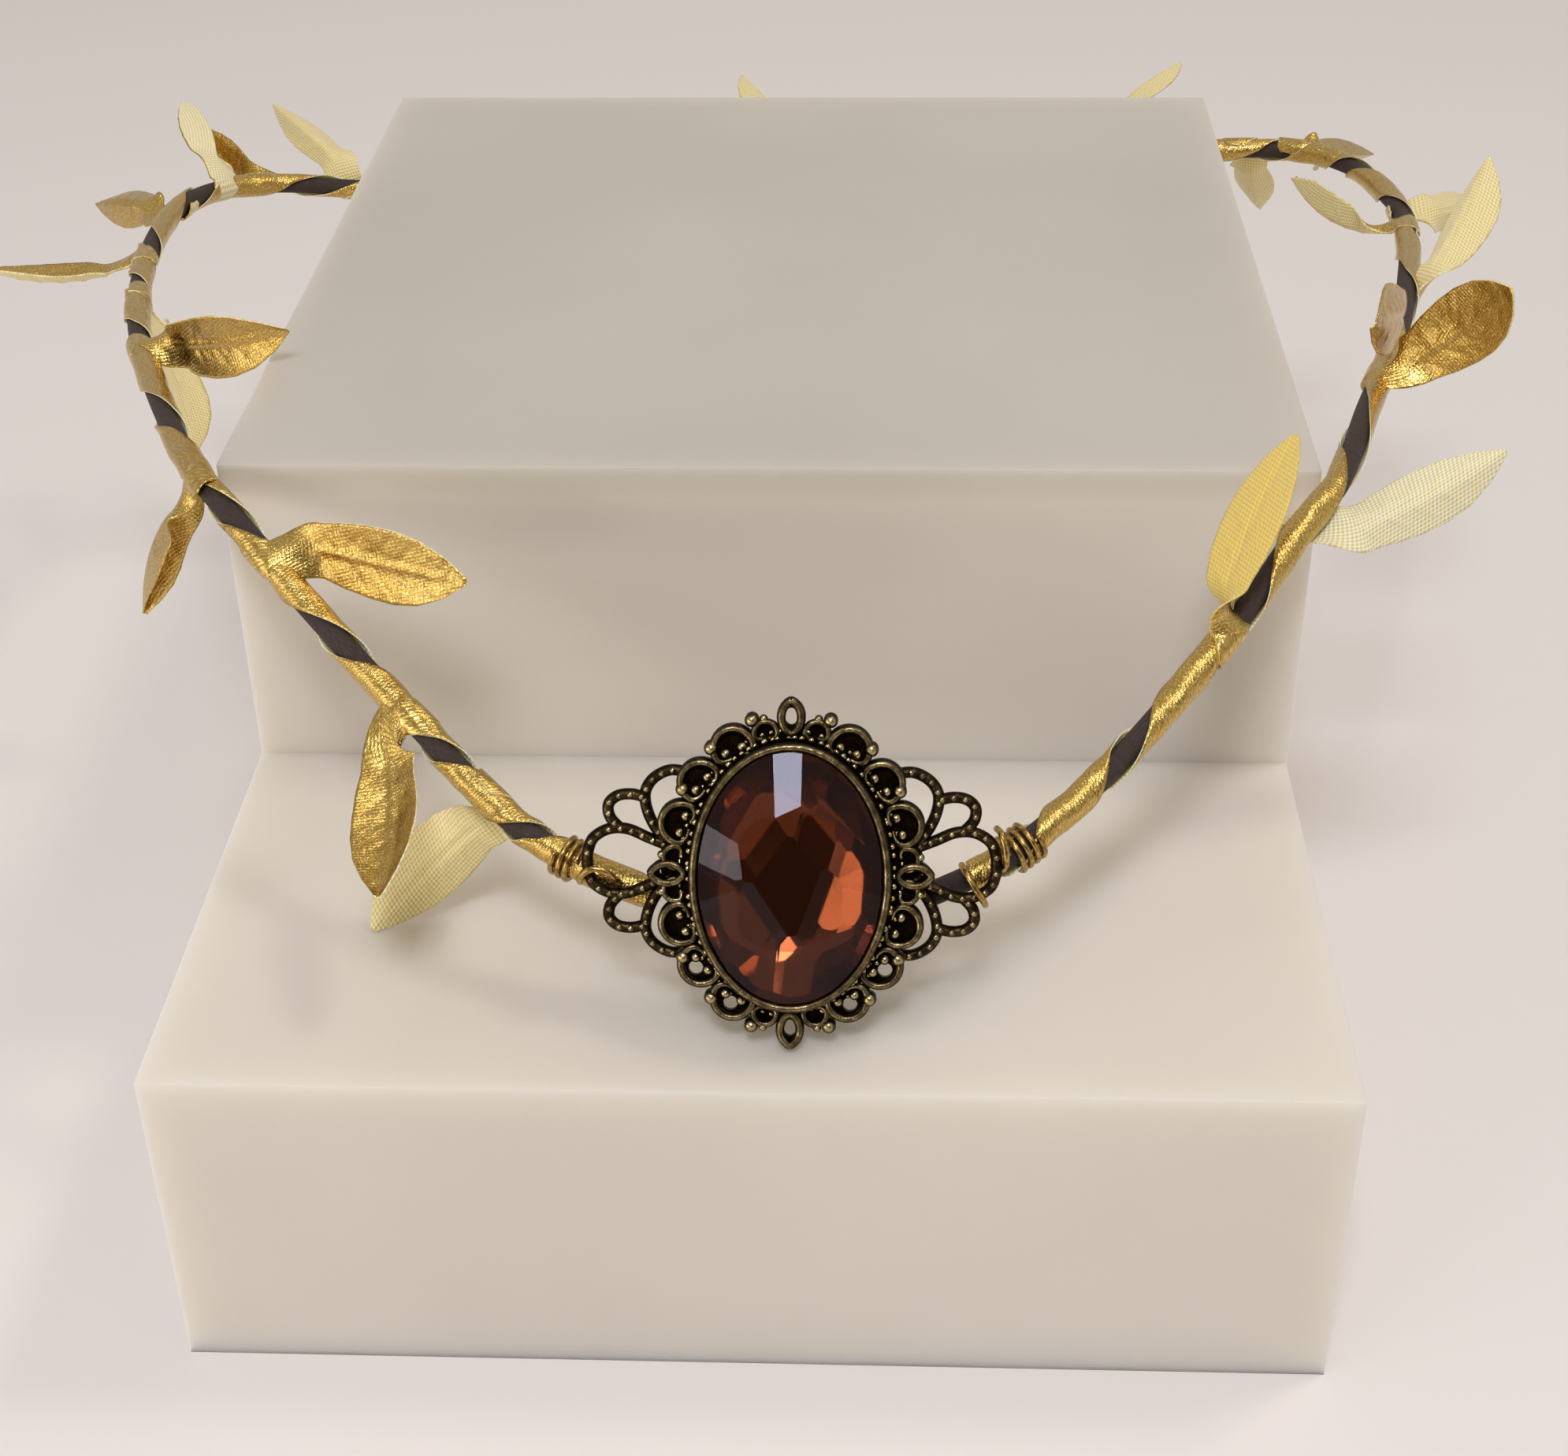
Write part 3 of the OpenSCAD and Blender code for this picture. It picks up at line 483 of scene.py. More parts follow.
# Leaves that show foil below or on both sides, and the leaves whose painted shade is other than halfway
foil_below, foil_both, painted_shade_by_leaf = (22, 8, 9), (4,), {2: 0.0, 24: 0.0, 23: 0.6, 25: 1.0, 9: 0.2}
outline = np.array(((0, 0.16), (0.08, 0.27), (0.18, 0.355), (0.32, 0.44), (0.47, 0.49), (0.6, 0.495), (0.74, 0.425),
                    (0.88, 0.26), (1, 0.04)))
# Columns: share of the cord, heading, rise, roll, bend, cup (degrees), length share
leaf_rows = (
    (0.036, 140, -44, 68, -53, 23, 1), (0.060, 284, -38, 25, 41, 30, 0.98), (0.103, 338, -1, 80, -2, 8, 1),
    (0.130, 147, -33, 9, -53, -66, 1), (0.203, 313, 14, 104, -31, 22, 1.1), (0.240, 53, -67, -10, -27, 13, 1),
    (0.272, 198, -17, 11, 43, 26, 0.93), (0.322, 145, -5, 133, 26, 46, 1), (0.347, 96, 33, 49, -52, -53, 1),
    (0.362, 131, -17, -5, 63, 63, 1), (0.385, 147, 35, 151, 41, 53, 1), (0.430, 118, 22, -140, 30, 30, 1),
    (0.470, 62, -24, 20, 30, 30, 1), (0.510, 112, 30, -150, 25, 35, 1), (0.550, 75, -18, 10, 35, 30, 1),
    (0.592, 52, 34, 150, 30, 30, 1), (0.633, 66, -58, -9, 33, 45, 1), (0.648, 33, -14, 78, -30, -60, 1),
    (0.707, 34, -7, -124, 29, 42, 1), (0.723, 138, -14, 46, 50, 50, 1), (0.773, 55, 20, 162, -20, 35, 1),
    (0.805, 256, 19, 92, 15, 14, 1.05), (0.830, -9, 41, 64, 55, 2, 1), (0.893, 31, 5, -144, -34, 38, 1.02),
    (0.923, 63, 54, 148, 20, -1, 1))
foot_r, foot_half, foot_turn, foot_tip = 1.70, 2.3, 1.9, 0.5
leaf_half_t, blade_start = 0.13, 0.2
midrib_h, midrib_w, vein_deep, vein_w, vein_pitch = 0.30, 0.42, 0.16, 0.3, 3.1
across = np.linspace(-1, 1, 25)


def turned(v, axis, angle):
    """v turned round an axis, angle in radians."""
    return v * math.cos(angle) + np.cross(axis, v) * math.sin(angle) + axis * (axis @ v) * (1 - math.cos(angle))


def ease(t):
    """0 to 1 with a soft start and end."""
    return t * t * (3 - 2 * t)


def blade_sections(row):
    """Centre, direction, width direction, foil normal, half width and share of a leaf's blade, root to point."""
    share, head, rise, roll_, bend, cup, long = row
    h, r, q, c = (math.radians(x) for x in (head, rise, roll_, cup))
    ahead = np.array([math.cos(r) * math.cos(h), math.cos(r) * math.sin(h), math.sin(r)])
    level_ = np.array([math.sin(h), -math.cos(h), 0])
    face = math.cos(q) * np.cross(level_, ahead) + math.sin(q) * level_
    wide = np.cross(ahead, face)
    bend_ = math.radians(bend)
    bow = long * leaf_l / bend_
    centre, along, _, _ = cord_frame(share)
    out = unit(ahead - (ahead @ along) * along)

    def at(t):
        """Place from the root, direction and foil normal at a share of the leaf's length."""
        a = bend_ * t
        return (bow * (math.sin(a) * ahead + (1 - math.cos(a)) * face), math.cos(a) * ahead + math.sin(a) * face,
                math.cos(a) * face - math.sin(a) * ahead)

    lowest = min((at(t)[0] + side * at(t)[2]
                  + w * leaf_w * (j * math.cos(c) * wide + abs(j) * math.sin(c) * at(t)[2])) @ out
                 for t, w in outline for side in (0.5, -0.5) for j in (-1, 0, 1))
    root = centre + (rest_r - lowest) * out
    return [(root + at(t)[0], at(t)[1], wide, at(t)[2], np.interp(t, outline[:, 0], outline[:, 1]) * leaf_w, t)
            for t in np.linspace(blade_start, 1, 64)]


def foot_sections(row, first_):
    """The strip that winds up the ribbon's slope and runs into the blade's first section."""
    centre, along, _, _ = cord_frame(row[0])
    m0, d0, _, f0, half0, t0 = first_
    q = m0 - centre
    q = q - (q @ along) * along
    reach = max(np.linalg.norm(q), foot_r * 1.02)
    open_ = math.acos(foot_r / reach)
    side = max((1, -1), key=lambda s: turned(q / np.linalg.norm(q), along, s * open_) @ f0)
    normal = turned(q / np.linalg.norm(q), along, side * open_)
    spin = -side
    rise_ = -spin * 1.5
    tangent = unit(spin * np.cross(along, normal) * foot_r + along * rise_)
    made = []
    for a in np.linspace(-foot_turn, 0, 16):
        n_ = turned(normal, along, spin * a)
        d_ = turned(tangent, along, spin * a)
        made.append((centre + foot_r * n_ + rise_ * a * along, d_, np.cross(d_, n_), n_,
                     foot_tip + (foot_half - foot_tip) * ease(min(1, (a + foot_turn) / 0.7)), -0.1 + 0.04 * a, 1.0))
    p0 = centre + foot_r * normal
    length = np.linalg.norm(m0 - p0)
    for t in np.linspace(0, 1, 18)[1:-1]:
        b = ease(t)
        p = ((2 * t ** 3 - 3 * t ** 2 + 1) * p0 + (t ** 3 - 2 * t ** 2 + t) * length * 0.8 * tangent
             + (-2 * t ** 3 + 3 * t ** 2) * m0 + (t ** 3 - t ** 2) * length * 0.8 * d0)
        d_ = unit(tangent * (1 - b) + d0 * b)
        n_ = normal * (1 - b) + f0 * b
        n_ = unit(n_ - (n_ @ d_) * d_)
        made.append((p, d_, np.cross(d_, n_), n_, foot_half + (half0 - foot_half) * t ** 0.4,
                     -0.1 + (0.1 + t0) * t, (1 - b) ** 2.5))
    return made


for number, row in enumerate(leaf_rows, 1):
    seed = np.random.default_rng(100 + number)
    sway, ruffle, pressed = seed.uniform(-1, 1, 3), seed.uniform(0, 6.28, 4), seed.uniform(0.8, 1.2)
    blade = blade_sections(row)
    cup = math.radians(row[5])
    along = cord_dir(row[0])
    sections, uvs = [], []
    y = across
    for m, _, w_, f, half, t, hug in foot_sections(row, blade[0]) + [(*b, 0.0) for b in blade]:
        grown = ease(min(max(t / 0.3, 0), 1))
        taper = 1 - max(t, 0) ** 4
        veins = (max(t, 0) * leaf_l - 0.9 * np.abs(y) * half) / vein_pitch
        veins = (np.exp(-((veins - np.round(veins)) * vein_pitch / vein_w) ** 2)
                 * np.minimum(np.abs(y) * 4, 1) * (1 - y ** 2))
        shape = grown * taper * (midrib_h * np.exp(-(y * half / midrib_w) ** 2) - vein_deep * pressed * veins)
        shape = shape + grown * (0.16 * y ** 2 * np.sin(8 * t + ruffle[1] + 2 * np.sign(y))
                                 + 0.3 * sway[1] * y * np.sin(4 * t))
        cup_ = cup * grown
        shape = shape + half * (np.sqrt(y ** 2 + 0.03) - 0.17) * math.sin(cup_)
        side = np.cross(along, f)
        round_ = half * y * (w_ @ side)
        curl = hug * (foot_r * np.sin(round_ / foot_r) - round_)[:, None] * side \
            - hug * (foot_r * (1 - np.cos(round_ / foot_r)))[:, None] * f
        middle = m + (half * y * math.cos(cup_))[:, None] * w_ + shape[:, None] * f + curl
        sections.append(np.concatenate([middle + leaf_half_t * f, (middle - leaf_half_t * f)[::-1]]))
        x = t * leaf_l * row[6]
        uvs += [(x, half * v) for v in y] + [(x, half * v) for v in y[::-1]]
    points, faces = loft(sections)
    n = 2 * len(across)
    upper = [(k % n) < len(across) - 1 for k in range(len(faces) - 2)]
    slots = [0 if number in foil_both or up != (number in foil_below) else 1 for up in upper] + [1, 1]
    leaf = add_mesh("leaf_blade_%02d" % number, points, faces, [foil, cloth], face_slots=slots, uvs=uvs)
    # Each leaf's painted shade: how far its cloth is deepened toward the shaded yellow
    layer = leaf.data.attributes.new("painted_shade", "FLOAT", "POINT")
    layer.data.foreach_set("value", [painted_shade_by_leaf.get(number, 0.45)] * len(leaf.data.vertices))
    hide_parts("leaf_%02d" % number)

# Filigree connector
# Cast as one flat piece: round wire loops in two wings on an oval pad ring, with small grains along the wires.
# It lies behind the setting, over the two ends of the cord, and is plated, darkened and rubbed bright by hand.

# Antique bronze plate: brown-black in the hollows, rubbed to pale brass on what stands out. The patina's patches
# are about 0.9 mm across and its pits 0.3 mm; a per-point attribute is higher where the surface faces out of the
# brooch: partly rubbed wear, partly a painted highlight, and painted shade on the sides that face away.
bronze, tree, output = new_material("antique bronze plate")
where = node(tree, "ShaderNodeTexCoord").outputs["Object"]
wear_and_painted_light = node(tree, "ShaderNodeAttribute", {"attribute_name": "wear_and_painted_light"})
patina = node(tree, "ShaderNodeTexNoise", {"Scale": 1100.0, "Detail": 4.0, "Roughness": 0.65},
              {"Vector": where}).outputs["Fac"]
pits = node(tree, "ShaderNodeTexNoise", {"Scale": 3800.0, "Detail": 3.0}, {"Vector": where})
# Patina plus the rubbed wear and painted highlight, with painted shade where the surface faces away
worn = node(tree, "ShaderNodeMath", {"operation": "MULTIPLY_ADD", 1: 0.7},
            {0: patina, 2: wear_and_painted_light.outputs["Fac"]}).outputs[0]
tone = node(tree, "ShaderNodeValToRGB", links={"Fac": worn},
            stops=((0.25, "#0E0805"), (0.58, "#281D13"), (0.86, "#65563A"), (1.0, "#AC9C70")))
bump = node(tree, "ShaderNodeBump", {"Strength": 0.4, "Distance": 0.00006}, {"Height": pits.outputs["Fac"]})
bump_2 = node(tree, "ShaderNodeBump", {"Strength": 0.5, "Distance": 0.00016},
              {"Height": patina, "Normal": bump.outputs["Normal"]})
rough = node(tree, "ShaderNodeMapRange", {"From Min": 0.3, "From Max": 1.0, "To Min": 0.55, "To Max": 0.27},
             {"Value": worn})
shade = node(tree, "ShaderNodeBsdfPrincipled", {"Metallic": 1.0},
             {"Base Color": tone.outputs["Color"], "Roughness": rough.outputs[0],
              "Normal": bump_2.outputs["Normal"]})
tree.links.new(shade.outputs[0], output.inputs[0])
brooch_out = Vector((0, -math.sin(lean), math.cos(lean)))


def smooth_line(points, per=10):
    """A Catmull-Rom line through points."""
    p = np.asarray(points, dtype=float)
    m = len(p) - 1
    line = []
    for i in range(m):
        a, b, c, d = p[max(i - 1, 0)], p[i], p[i + 1], p[min(i + 2, m)]
        for t in np.arange(per) / per:
            line.append(0.5 * (2 * b + (c - a) * t + (2 * a - 5 * b + 4 * c - d) * t * t
                               + (3 * b - a - 3 * c + d) * t ** 3))
    line.append(p[-1])
    return np.array(line)


def wire_tube(line, radius, sides=12, flat=1.0, ups=(0, 0, 1)):
    """Points and faces of a round wire along a line; flat scales its depth."""
    line = np.asarray(line, dtype=float)
    ups = np.array(ups, dtype=float)
    radii = np.broadcast_to(radius, (len(line),))
    sections = []
    for i, p in enumerate(line):
        d = unit(line[min(i + 1, len(line) - 1)] - line[max(i - 1, 0)])
        a = unit(np.cross(ups, d)) if abs(d @ ups) < 0.99 else np.array([1.0, 0, 0])
        b = np.cross(d, a)
        angle = -np.arange(sides) * 2 * math.pi / sides
        sections.append(p + radii[i] * (np.cos(angle)[:, None] * a + flat * np.sin(angle)[:, None] * b))
    points, faces = loft(sections)
    return points, [tuple(f[::-1]) for f in faces]


def ball(centre, radius, rows=8, cols=12):
    """Points and faces of a sphere."""
    x, y, z = centre
    points = [(x + radius * math.sin(math.pi * i / rows) * math.cos(2 * math.pi * j / cols),
               y + radius * math.sin(math.pi * i / rows) * math.sin(2 * math.pi * j / cols),
               z + radius * math.cos(math.pi * i / rows)) for i in range(rows + 1) for j in range(cols)]
    faces = [(i * cols + j, (i + 1) * cols + j, (i + 1) * cols + (j + 1) % cols, i * cols + (j + 1) % cols)
             for i in range(rows) for j in range(cols)]
    return np.array(points), faces


def joined(parts):
    """Several (points, faces) as one."""
    points, faces, base = [], [], 0
    for p, f in parts:
        points.append(np.asarray(p, dtype=float))
        faces += [tuple(i + base for i in face_) for face_ in f]
        base += len(p)
    return np.concatenate(points), faces


def add_wear_and_painted_light(made, low, high):
    """Marks each point's rubbed wear and painted highlight: more where the surface looks out of the brooch, and
    painted shade where it looks away.
    """
    layer = made.data.attributes.new("wear_and_painted_light", "FLOAT", "POINT")
    looks = [max(0.0, v.normal @ brooch_out) for v in made.data.vertices]
    layer.data.foreach_set("value", [low + (high - low) * x ** 1.5 for x in looks])


half = np.array([filigree_w / 2, filigree_h / 2])
loops = (
    ((0.48, 0.93), (0.575, 0.955), (0.655, 0.87), (0.695, 0.73), (0.69, 0.56), (0.655, 0.38), (0.60, 0.22)),
    ((0.685, 0.66), (0.76, 0.70), (0.83, 0.68), (0.872, 0.59), (0.865, 0.46), (0.82, 0.35)),
    ((0.58, 0.16), (0.68, 0.245), (0.78, 0.335), (0.87, 0.335), (0.945, 0.24), (0.972, 0.1), (0.975, 0)))
wire_r, wire_z, grain_r, grain_up, grain_pitch = 0.58, -0.70, 0.43, 0.27, 1.15
parts, grains = [], []
for sx in (1, -1):
    for sy in (1, -1):
        for loop in loops:
            line = smooth_line(np.array(loop) * half)
            line = np.column_stack([line[:, 0] * sx, filigree_up + line[:, 1] * sy, np.full(len(line), wire_z)])
            parts.append(wire_tube(line, wire_r))
            steps = lengths_along(line)
            for k in np.arange(0.6, steps[-1], grain_pitch):
                p = [np.interp(k, steps, line[:, x]) for x in range(3)]
                grains.append(ball((p[0], p[1], p[2] + grain_up), grain_r))
pad_wide, pad_high = 0.58, 0.86
pad = np.array([(pad_wide * filigree_w / 2 * math.cos(a), filigree_up + pad_high * filigree_h / 2 * math.sin(a),
                 wire_z) for a in np.linspace(0, 2 * math.pi, 73)])
parts.append(wire_tube(pad, 1.0, flat=0.5))
# Each piece's range of rubbed wear and painted highlight, from the sides that face away to those that face out
for name, pieces, low, high in (("filigree_wires", parts, 0.0, 0.32), ("filigree_grains", grains, 0.0, 0.66)):
    points, faces = joined(pieces)
    filigree = add_mesh(name, on_brooch(points), faces, [bronze])
    add_wear_and_painted_light(filigree, low, high)
    if name == "filigree_wires":
        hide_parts("filigree_connector")

# Cameo setting
# Cast lace border on a thin pierced plate: arches curled in at both ends, balls between them, four almond
# loops, rows of seed balls against the bezel, and the bezel's rolled lip over the stone.
def cut_off(shape, place, normal, near):
    """Cuts away what lies beyond a plane and returns the edges of the cut."""
    cut = bmesh.ops.bisect_plane(shape, geom=shape.verts[:] + shape.edges[:] + shape.faces[:], dist=near,
                                 plane_co=place, plane_no=normal, clear_outer=True)
    return [e for e in cut["geom_cut"] if isinstance(e, bmesh.types.BMEdge)]


bezel_a, bezel_b, lace_side, lace_t = 9.77, 13.27, 3.0, 1.0
plate_z = 0.7
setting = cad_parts["cameo_setting"]
shape = bmesh.new()
shape.from_mesh(setting.data)
bmesh.ops.remove_doubles(shape, verts=shape.verts[:], dist=1e-7)
origin = Vector([x * MM for x in on_brooch([(0, 0, plate_z)])[0]])
bmesh.ops.triangle_fill(shape, use_beauty=True, edges=cut_off(shape, origin, brooch_out, 1e-8))
plate_mesh = bpy.data.meshes.new("setting_plate")
shape.to_mesh(plate_mesh)
shape.free()
plate_mesh.materials.append(bronze)
plate_mesh.polygons.foreach_set("use_smooth", [False] * len(plate_mesh.polygons))
plate_mesh.update()
plate = add_object("setting_plate", plate_mesh)
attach(plate, "root")
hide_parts("cameo_setting")
# The plate gets almost none of the rubbed wear and painted highlight
add_wear_and_painted_light(plate, 0.0, 0.05)

scallop_a, scallop_b = bezel_a + 0.55 * lace_side, bezel_b + 0.35 * lace_side
scallop_r, scallop_wire, small = 0.8 * lace_side, 0.42, 0.8
# Arches in one quarter of the border: angle round the stone, size, and the way each one opens
arches = ((20.4, 1, 200), (39.5, 1, 222), (60.5, 1, 246), (6.5, 0.6, 190), (77.5, 0.62, 262))
seed = np.random.default_rng(7)
parts, beads = [], []
for sx in (1, -1):
    for sy in (1, -1):
        for angle, share_, facing in arches:
            a, open_ = math.radians(angle), math.radians(facing)
            centre = np.array([scallop_a * math.cos(a), scallop_b * math.sin(a)])
            thick = scallop_wire * (1 if share_ == 1 else small)
            r = share_ * scallop_r - thick
            line = []
            for b in np.linspace(-1, 1, 49):
                curl = ease(min(max((abs(b) - 0.6) / 0.4, 0), 1))
                turn_ = open_ + math.pi + b * (math.pi - 0.30)
                pull = r * (1 - 0.52 * curl)
                line.append((sx * (centre[0] + pull * math.cos(turn_)), sy * (centre[1] + pull * math.sin(turn_)),
                             lace_t + 0.12 - 0.25 * curl))
            thins = [thick * (1 - 0.25 * abs(b) ** 3) for b in np.linspace(-1, 1, 49)]
            parts.append(wire_tube(line, thins, 12, 1.15))
            if share_ == 1:
                for side in (1, -1):
                    x = centre[0] + 0.06 * scallop_r * math.cos(open_) + side * 0.36 * scallop_r * math.sin(open_)
                    y = centre[1] + 0.06 * scallop_r * math.sin(open_) - side * 0.36 * scallop_r * math.cos(open_)
                    beads.append(ball((sx * x, sy * y, lace_t + 0.25), 0.54, 8, 14))
            else:
                beads.append(ball((line[24][0] * 1.02, line[24][1] * 1.02, lace_t + 0.1), 0.42, 8, 12))
        for angle in (31.5, 51.0, 72.0):
            a = math.radians(angle)
            beads.append(ball((sx * (bezel_a + lace_side - 0.36) * math.cos(a),
                               sy * (bezel_b + lace_side - 0.24) * math.sin(a), lace_t + 0.12), 0.72, 10, 16))
# Two rows of seed balls against the bezel: distance from it, radius, count and height
for row_out, size_, count_, height_ in ((0.36, 0.36, 82, 0.25), (1.02, 0.30, 58, 0.0)):
    for k in range(count_):
        a = 2 * math.pi * (k + 0.25 * seed.normal()) / count_
        beads.append(ball(((bezel_a + row_out) * math.cos(a), (bezel_b + row_out) * math.sin(a),
                           lace_t + height_ + 0.08 * seed.normal()), size_ * (1 + 0.12 * seed.normal()), 7, 10))
# Four almond loops at the ends of the stone's long and short axes
almond_wide, almond_high = 0.98, 1.62
almond_x, almond_y = (bezel_ + 0.14 * lace_side + 1.9 for bezel_ in (bezel_a, bezel_b))
for turn_, place in ((0, (0, almond_y)), (math.pi, (0, -almond_y)), (math.pi / 2, (-almond_x, 0)),
                     (-math.pi / 2, (almond_x, 0))):
    line = []
    for b in np.linspace(0, 2 * math.pi, 57):
        x, y = almond_wide * math.sin(b) * abs(math.sin(b)) ** 0.35, almond_high * math.cos(b)
        line.append((place[0] + x * math.cos(turn_) - y * math.sin(turn_),
                     place[1] + x * math.sin(turn_) + y * math.cos(turn_), lace_t + 0.18))
    parts.append(wire_tube(line, 0.44, 12, 1.2))
# The bezel wall and its rolled lip: distance out from the bezel's oval, and height
steps = np.linspace(0, 2 * math.pi, 161)[:-1]
profile = ((0.0, 0.6), (0.0, 2.6), (0.10, 2.85), (0.13, 3.1), (0.08, 3.38), (-0.08, 3.58), (-0.3, 3.66), (-0.52, 3.6),
           (-0.68, 3.42), (-0.74, 3.2), (-0.66, 2.9), (-0.65, 0.6))
rings = [np.column_stack([(bezel_a + out_) * np.cos(steps), (bezel_b + out_) * np.sin(steps),
                          np.full(len(steps), z)])
         for out_, z in profile]
points, faces = loft(rings, caps=False)
parts.append((points, faces))
# Each piece's range of rubbed wear and painted highlight, from the sides that face away to those that face out
for name, pieces, low, high in (("setting_wires", parts, 0.0, 0.62), ("setting_beads", beads, 0.05, 0.85)):
    points, faces = joined(pieces)
    relief = add_mesh(name, on_brooch(points), faces, [bronze])
    add_wear_and_painted_light(relief, low, high)

# Oval stone
# Smoky brown glass, its face cut and its back pressed in flat lozenges; the back is plated with dark mirror
# foil, so that light comes back up through the brown glass.

# Polished glass: sharp, dimmed reflections over a deep brown; the foil under it sends brown and orange back up
glass, tree, output = new_material("smoky brown glass")
shade = node(tree, "ShaderNodeBsdfPrincipled", {"Base Color": colour("#95593A"), "Roughness": 0.0, "IOR": 1.52,
                                                "Transmission Weight": 0.97, "Specular Tint": colour("#8E8E98")})
tree.links.new(shade.outputs[0], output.inputs[0])
mirror_foil, tree, output = new_material("dark bronze mirror foil")
shade = node(tree, "ShaderNodeBsdfPrincipled", {"Base Color": colour("#A08878"), "Metallic": 1.0, "Roughness": 0.09})
tree.links.new(shade.outputs[0], output.inputs[0])
stone_a, stone_b = 9.0, 12.5


def cut_stone(name, planes, top, bottom, a, b, sides=96):
    """An oval prism cut by planes (point, normal), with mirror foil on its back faces; returns the object."""
    shape = bmesh.new()
    ring = [(a * math.cos(t), b * math.sin(t)) for t in np.linspace(0, 2 * math.pi, sides + 1)[:-1]]
    low = [shape.verts.new((x, y, bottom)) for x, y in ring]
    high = [shape.verts.new((x, y, top)) for x, y in ring]
    shape.faces.new(low[::-1])
    shape.faces.new(high)
    for i in range(sides):
        shape.faces.new((low[i], low[(i + 1) % sides], high[(i + 1) % sides], high[i]))
    for place, normal in planes:
        edges = cut_off(shape, place, normal, 1e-6)
        if edges:
            bmesh.ops.holes_fill(shape, edges=edges, sides=0)
    bmesh.ops.recalc_face_normals(shape, faces=shape.faces[:])
    for face in shape.faces:
        face.material_index = int(face.normal.z < -0.2)
    mesh = bpy.data.meshes.new(name)
    shape.to_mesh(mesh)
    shape.free()
    corners = np.empty(len(mesh.vertices) * 3)
    mesh.vertices.foreach_get("co", corners)
    mesh.vertices.foreach_set("co", (on_brooch(corners.reshape(-1, 3)) * MM).ravel())
    mesh.materials.append(glass)
    mesh.materials.append(mirror_foil)
    mesh.update()
    made = add_object(name, mesh)
    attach(made, "root")
    return made


def lozenges(shift, within):
    """Middles of the slanting grid's lozenges that lie inside the stone's oval."""
    for i in range(-3, 4):
        for j in range(-3, 4):
            x, y = i * down_right + j * down_left + np.array(shift)
            if (x / stone_a) ** 2 + (y / stone_b) ** 2 < within:
                yield x, y


# The face's flats touch a low dome on a slanting lozenge grid, with long triangles round the rim; the back has a
# steep rim and the same kind of grid, pressed less evenly, which throws brown and orange lozenges up the stone.
seat_up, seat_gap = 1.6, 0.1
girdle = lace_t + seat_up + seat_gap
crown_h, girdle_t, dome, table_down = 3.4, 0.6, 2.6, 0.5
fall_a, fall_b = dome / stone_a ** 2, dome / stone_b ** 2
down_right, down_left = np.array((3.8, -3.9)), np.array((-3.3, -5.4))
crown = []
polish = random.Random(11)
for x, y in lozenges((0.2, 0.4), 1.3):
    z = girdle + girdle_t + crown_h - table_down - fall_a * x * x - fall_b * y * y
    lean_x, lean_y = polish.uniform(-0.04, 0.04), polish.uniform(-0.04, 0.04)
    crown.append((Vector((x, y, z)), Vector((2 * fall_a * x + lean_x, 2 * fall_b * y + lean_y, 1)).normalized()))
rim_count, rim_share = 20, 0.66
for i in range(rim_count):
    t = 2 * math.pi * i / rim_count + 0.03
    inner = Vector((rim_share * stone_a * math.cos(t), rim_share * stone_b * math.sin(t),
                    girdle + girdle_t + crown_h - table_down - dome * rim_share ** 2 - 0.06 * (i % 2)))
    outer = Vector((stone_a * math.cos(t), stone_b * math.sin(t), girdle + girdle_t + 0.05))
    tangent = Vector((-stone_a * math.sin(t), stone_b * math.cos(t), 0))
    crown.append((inner, (outer - inner).cross(tangent).normalized()))
pavilion = []
back_count, back_share, back_lean, back_down, hollow = 16, 0.97, math.radians(42), 1.45, 0.8
for i in range(back_count):
    t = 2 * math.pi * (i + 0.5) / back_count
    out_ = Vector((math.cos(t) / stone_a, math.sin(t) / stone_b, 0)).normalized() * math.sin(back_lean)
    pavilion.append((Vector((back_share * stone_a * math.cos(t), back_share * stone_b * math.sin(t), girdle)),
                     Vector((out_.x, out_.y, -math.cos(back_lean)))))
for x, y in lozenges((1.6, -2.2), 0.9):
    z = girdle - back_down + hollow * (x * x / stone_a ** 2 + y * y / stone_b ** 2)
    lean_x, lean_y = polish.uniform(-0.1, 0.1), polish.uniform(-0.1, 0.1)
    pavilion.append((Vector((x, y, z)), Vector((2 * hollow / stone_a ** 2 * x + lean_x,
                                                2 * hollow / stone_b ** 2 * y + lean_y, -1)).normalized()))
stone = cut_stone("stone_cut", crown + pavilion, girdle + girdle_t + crown_h, girdle - 1.55,
                  stone_a - 0.02, stone_b - 0.02)
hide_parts("oval_stone")

# Lashings
# Thin bronze wire: some turns round the cord at each wing's end, and one or two short wires that tie it to the
# wing's loops.

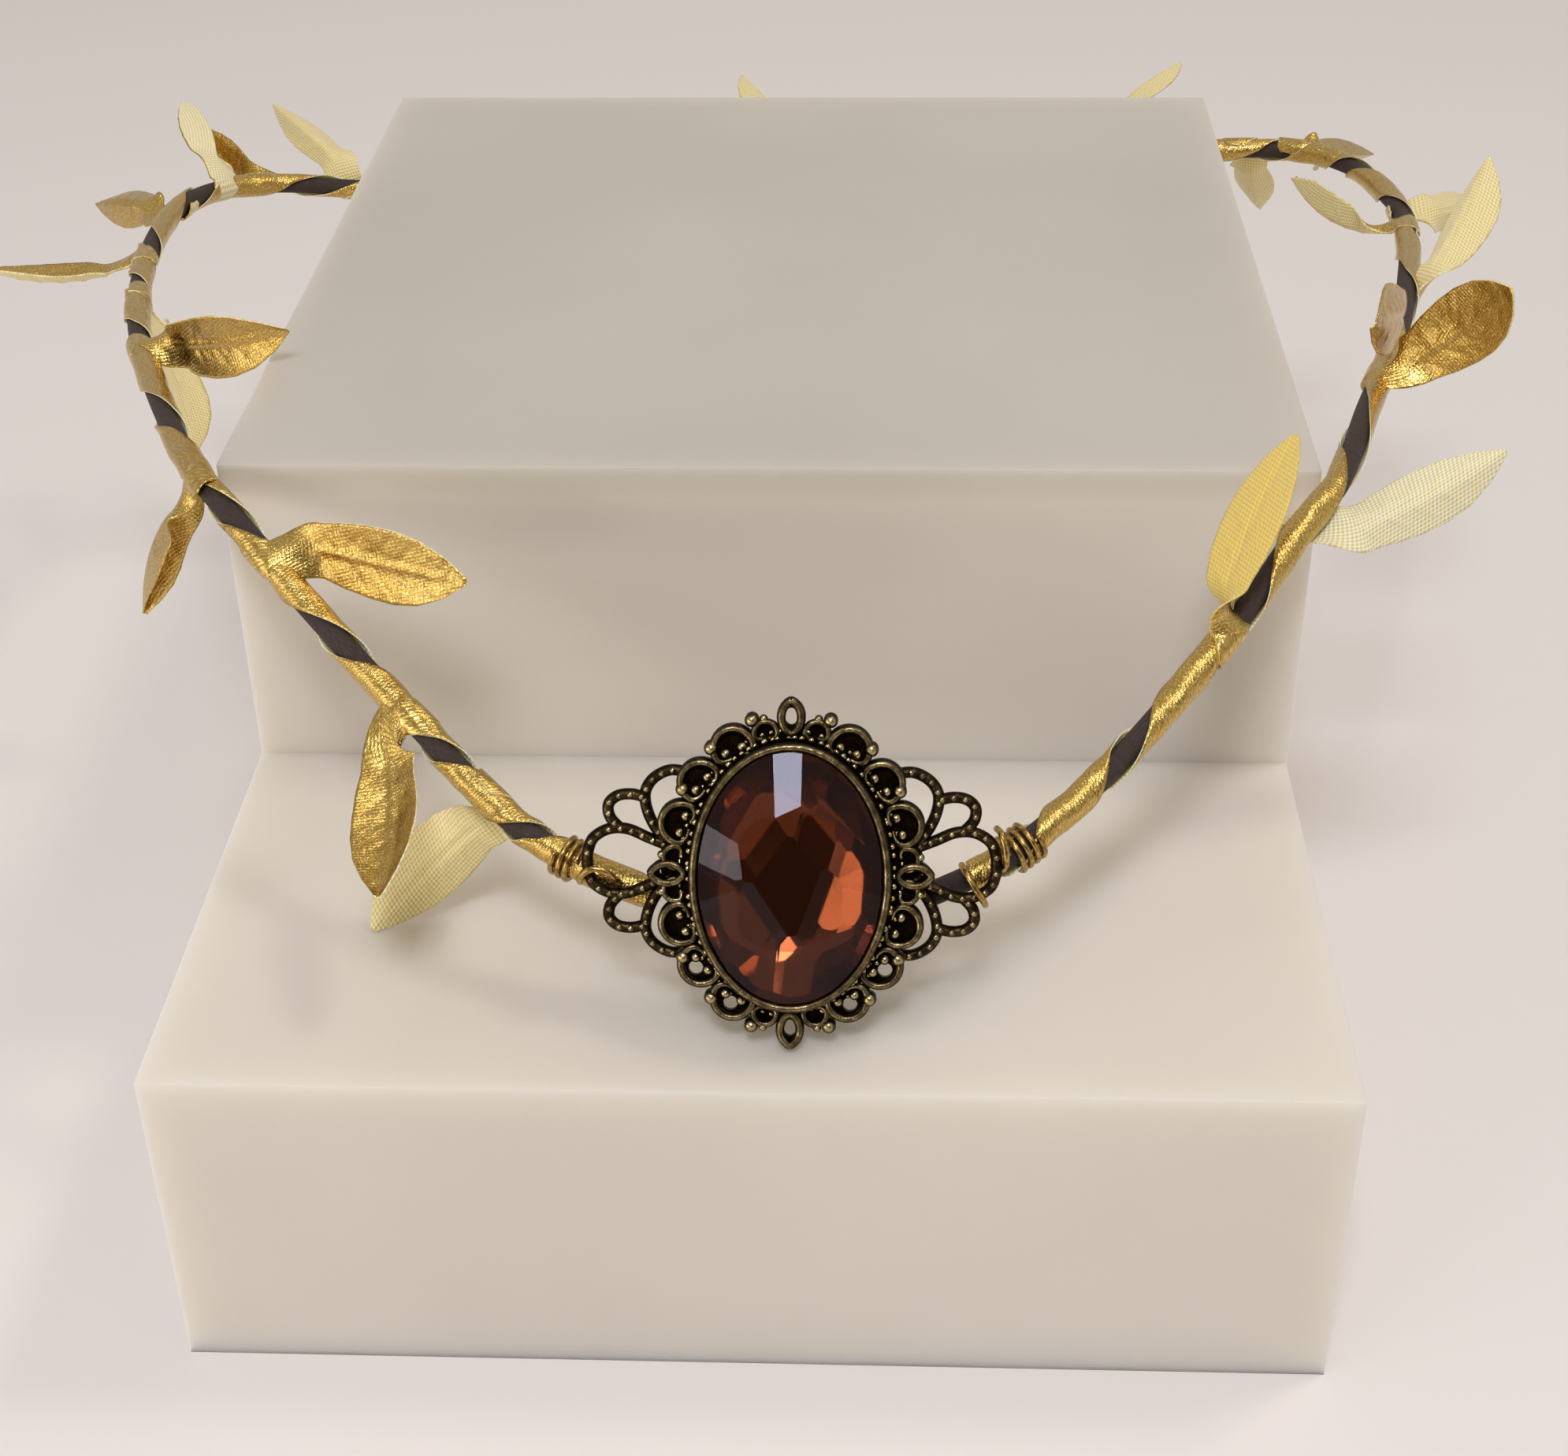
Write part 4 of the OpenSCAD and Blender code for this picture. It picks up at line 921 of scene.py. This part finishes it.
# Drawn bronze wire: a narrow warm shine with 0.4 mm marks of handling
lash, tree, output = new_material("bronze lashing wire")
where = node(tree, "ShaderNodeTexCoord").outputs["Object"]
marks = node(tree, "ShaderNodeTexNoise", {"Scale": 2500.0, "Detail": 2.0}, {"Vector": where})
tone = node(tree, "ShaderNodeValToRGB", links={"Fac": marks.outputs["Fac"]},
            stops=((0.35, "#8A6C36"), (0.65, "#C8A765")))
shade = node(tree, "ShaderNodeBsdfPrincipled", {"Metallic": 1.0, "Roughness": 0.3},
             {"Base Color": tone.outputs["Color"]})
tree.links.new(shade.outputs[0], output.inputs[0])
# The ties' wires over the wings, each a list of places in the brooch
ties = {"lashing_left": (((-21.1, -1.6, -1.8), (-20.9, -0.9, -0.2), (-20.2, -0.1, 0.45), (-19.2, 0.2, 0.6),
                          (-18.1, -0.2, 0.45), (-17.4, -0.9, -0.2), (-17.1, -1.7, -1.8)),),
        "lashing_right": (((20.2, 4.3, -1.6), (20.6, 4.0, 0.0), (21.0, 2.6, 0.35), (21.1, 1.2, 0.1),
                           (20.9, 0.2, -1.6)),
                          ((16.8, 0.6, -1.6), (17.2, 0.1, 0.0), (18.0, -1.2, 0.5), (18.9, -2.6, 0.2),
                           (19.2, -3.4, -1.6)))}
coil_r, coil_pitch, coil_steps = 2.02, 0.72, 36
# The wings' half-width shares between which the two tucked ends of the cord run
left_from, left_span, right_from, right_span = 0.64, 0.36, 0.65, 0.40
for side, name, turns in ((-1, "lashing_left", 3), (1, "lashing_right", 4)):
    line = []
    for i in range(coil_steps * turns + 1):
        reach_ = filigree_w / 2 + 2 * touch + 0.325 + coil_pitch * i / coil_steps
        if side < 0:
            share = knots[2] / ring_length * (reach_ * 2 / filigree_w - left_from) / left_span
        else:
            share = 1 - (1 - knots[last - 2] / ring_length) * (reach_ * 2 / filigree_w - right_from) / right_span
        centre, _, out, over = cord_frame(share)
        a = 2 * math.pi * i / coil_steps
        line.append(centre + coil_r * (math.cos(a) * out + math.sin(a) * over))
    pieces = [wire_tube(line, 0.31, 10, ups=(0.9, 0.1, 0.05))]
    pieces += [(on_brooch(p), f) for p, f in (wire_tube(smooth_line(tie, 8), 0.34, 10) for tie in ties[name])]
    points, faces = joined(pieces)
    coil = add_mesh(name + "_wire", points, faces, [lash])
    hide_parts(name)
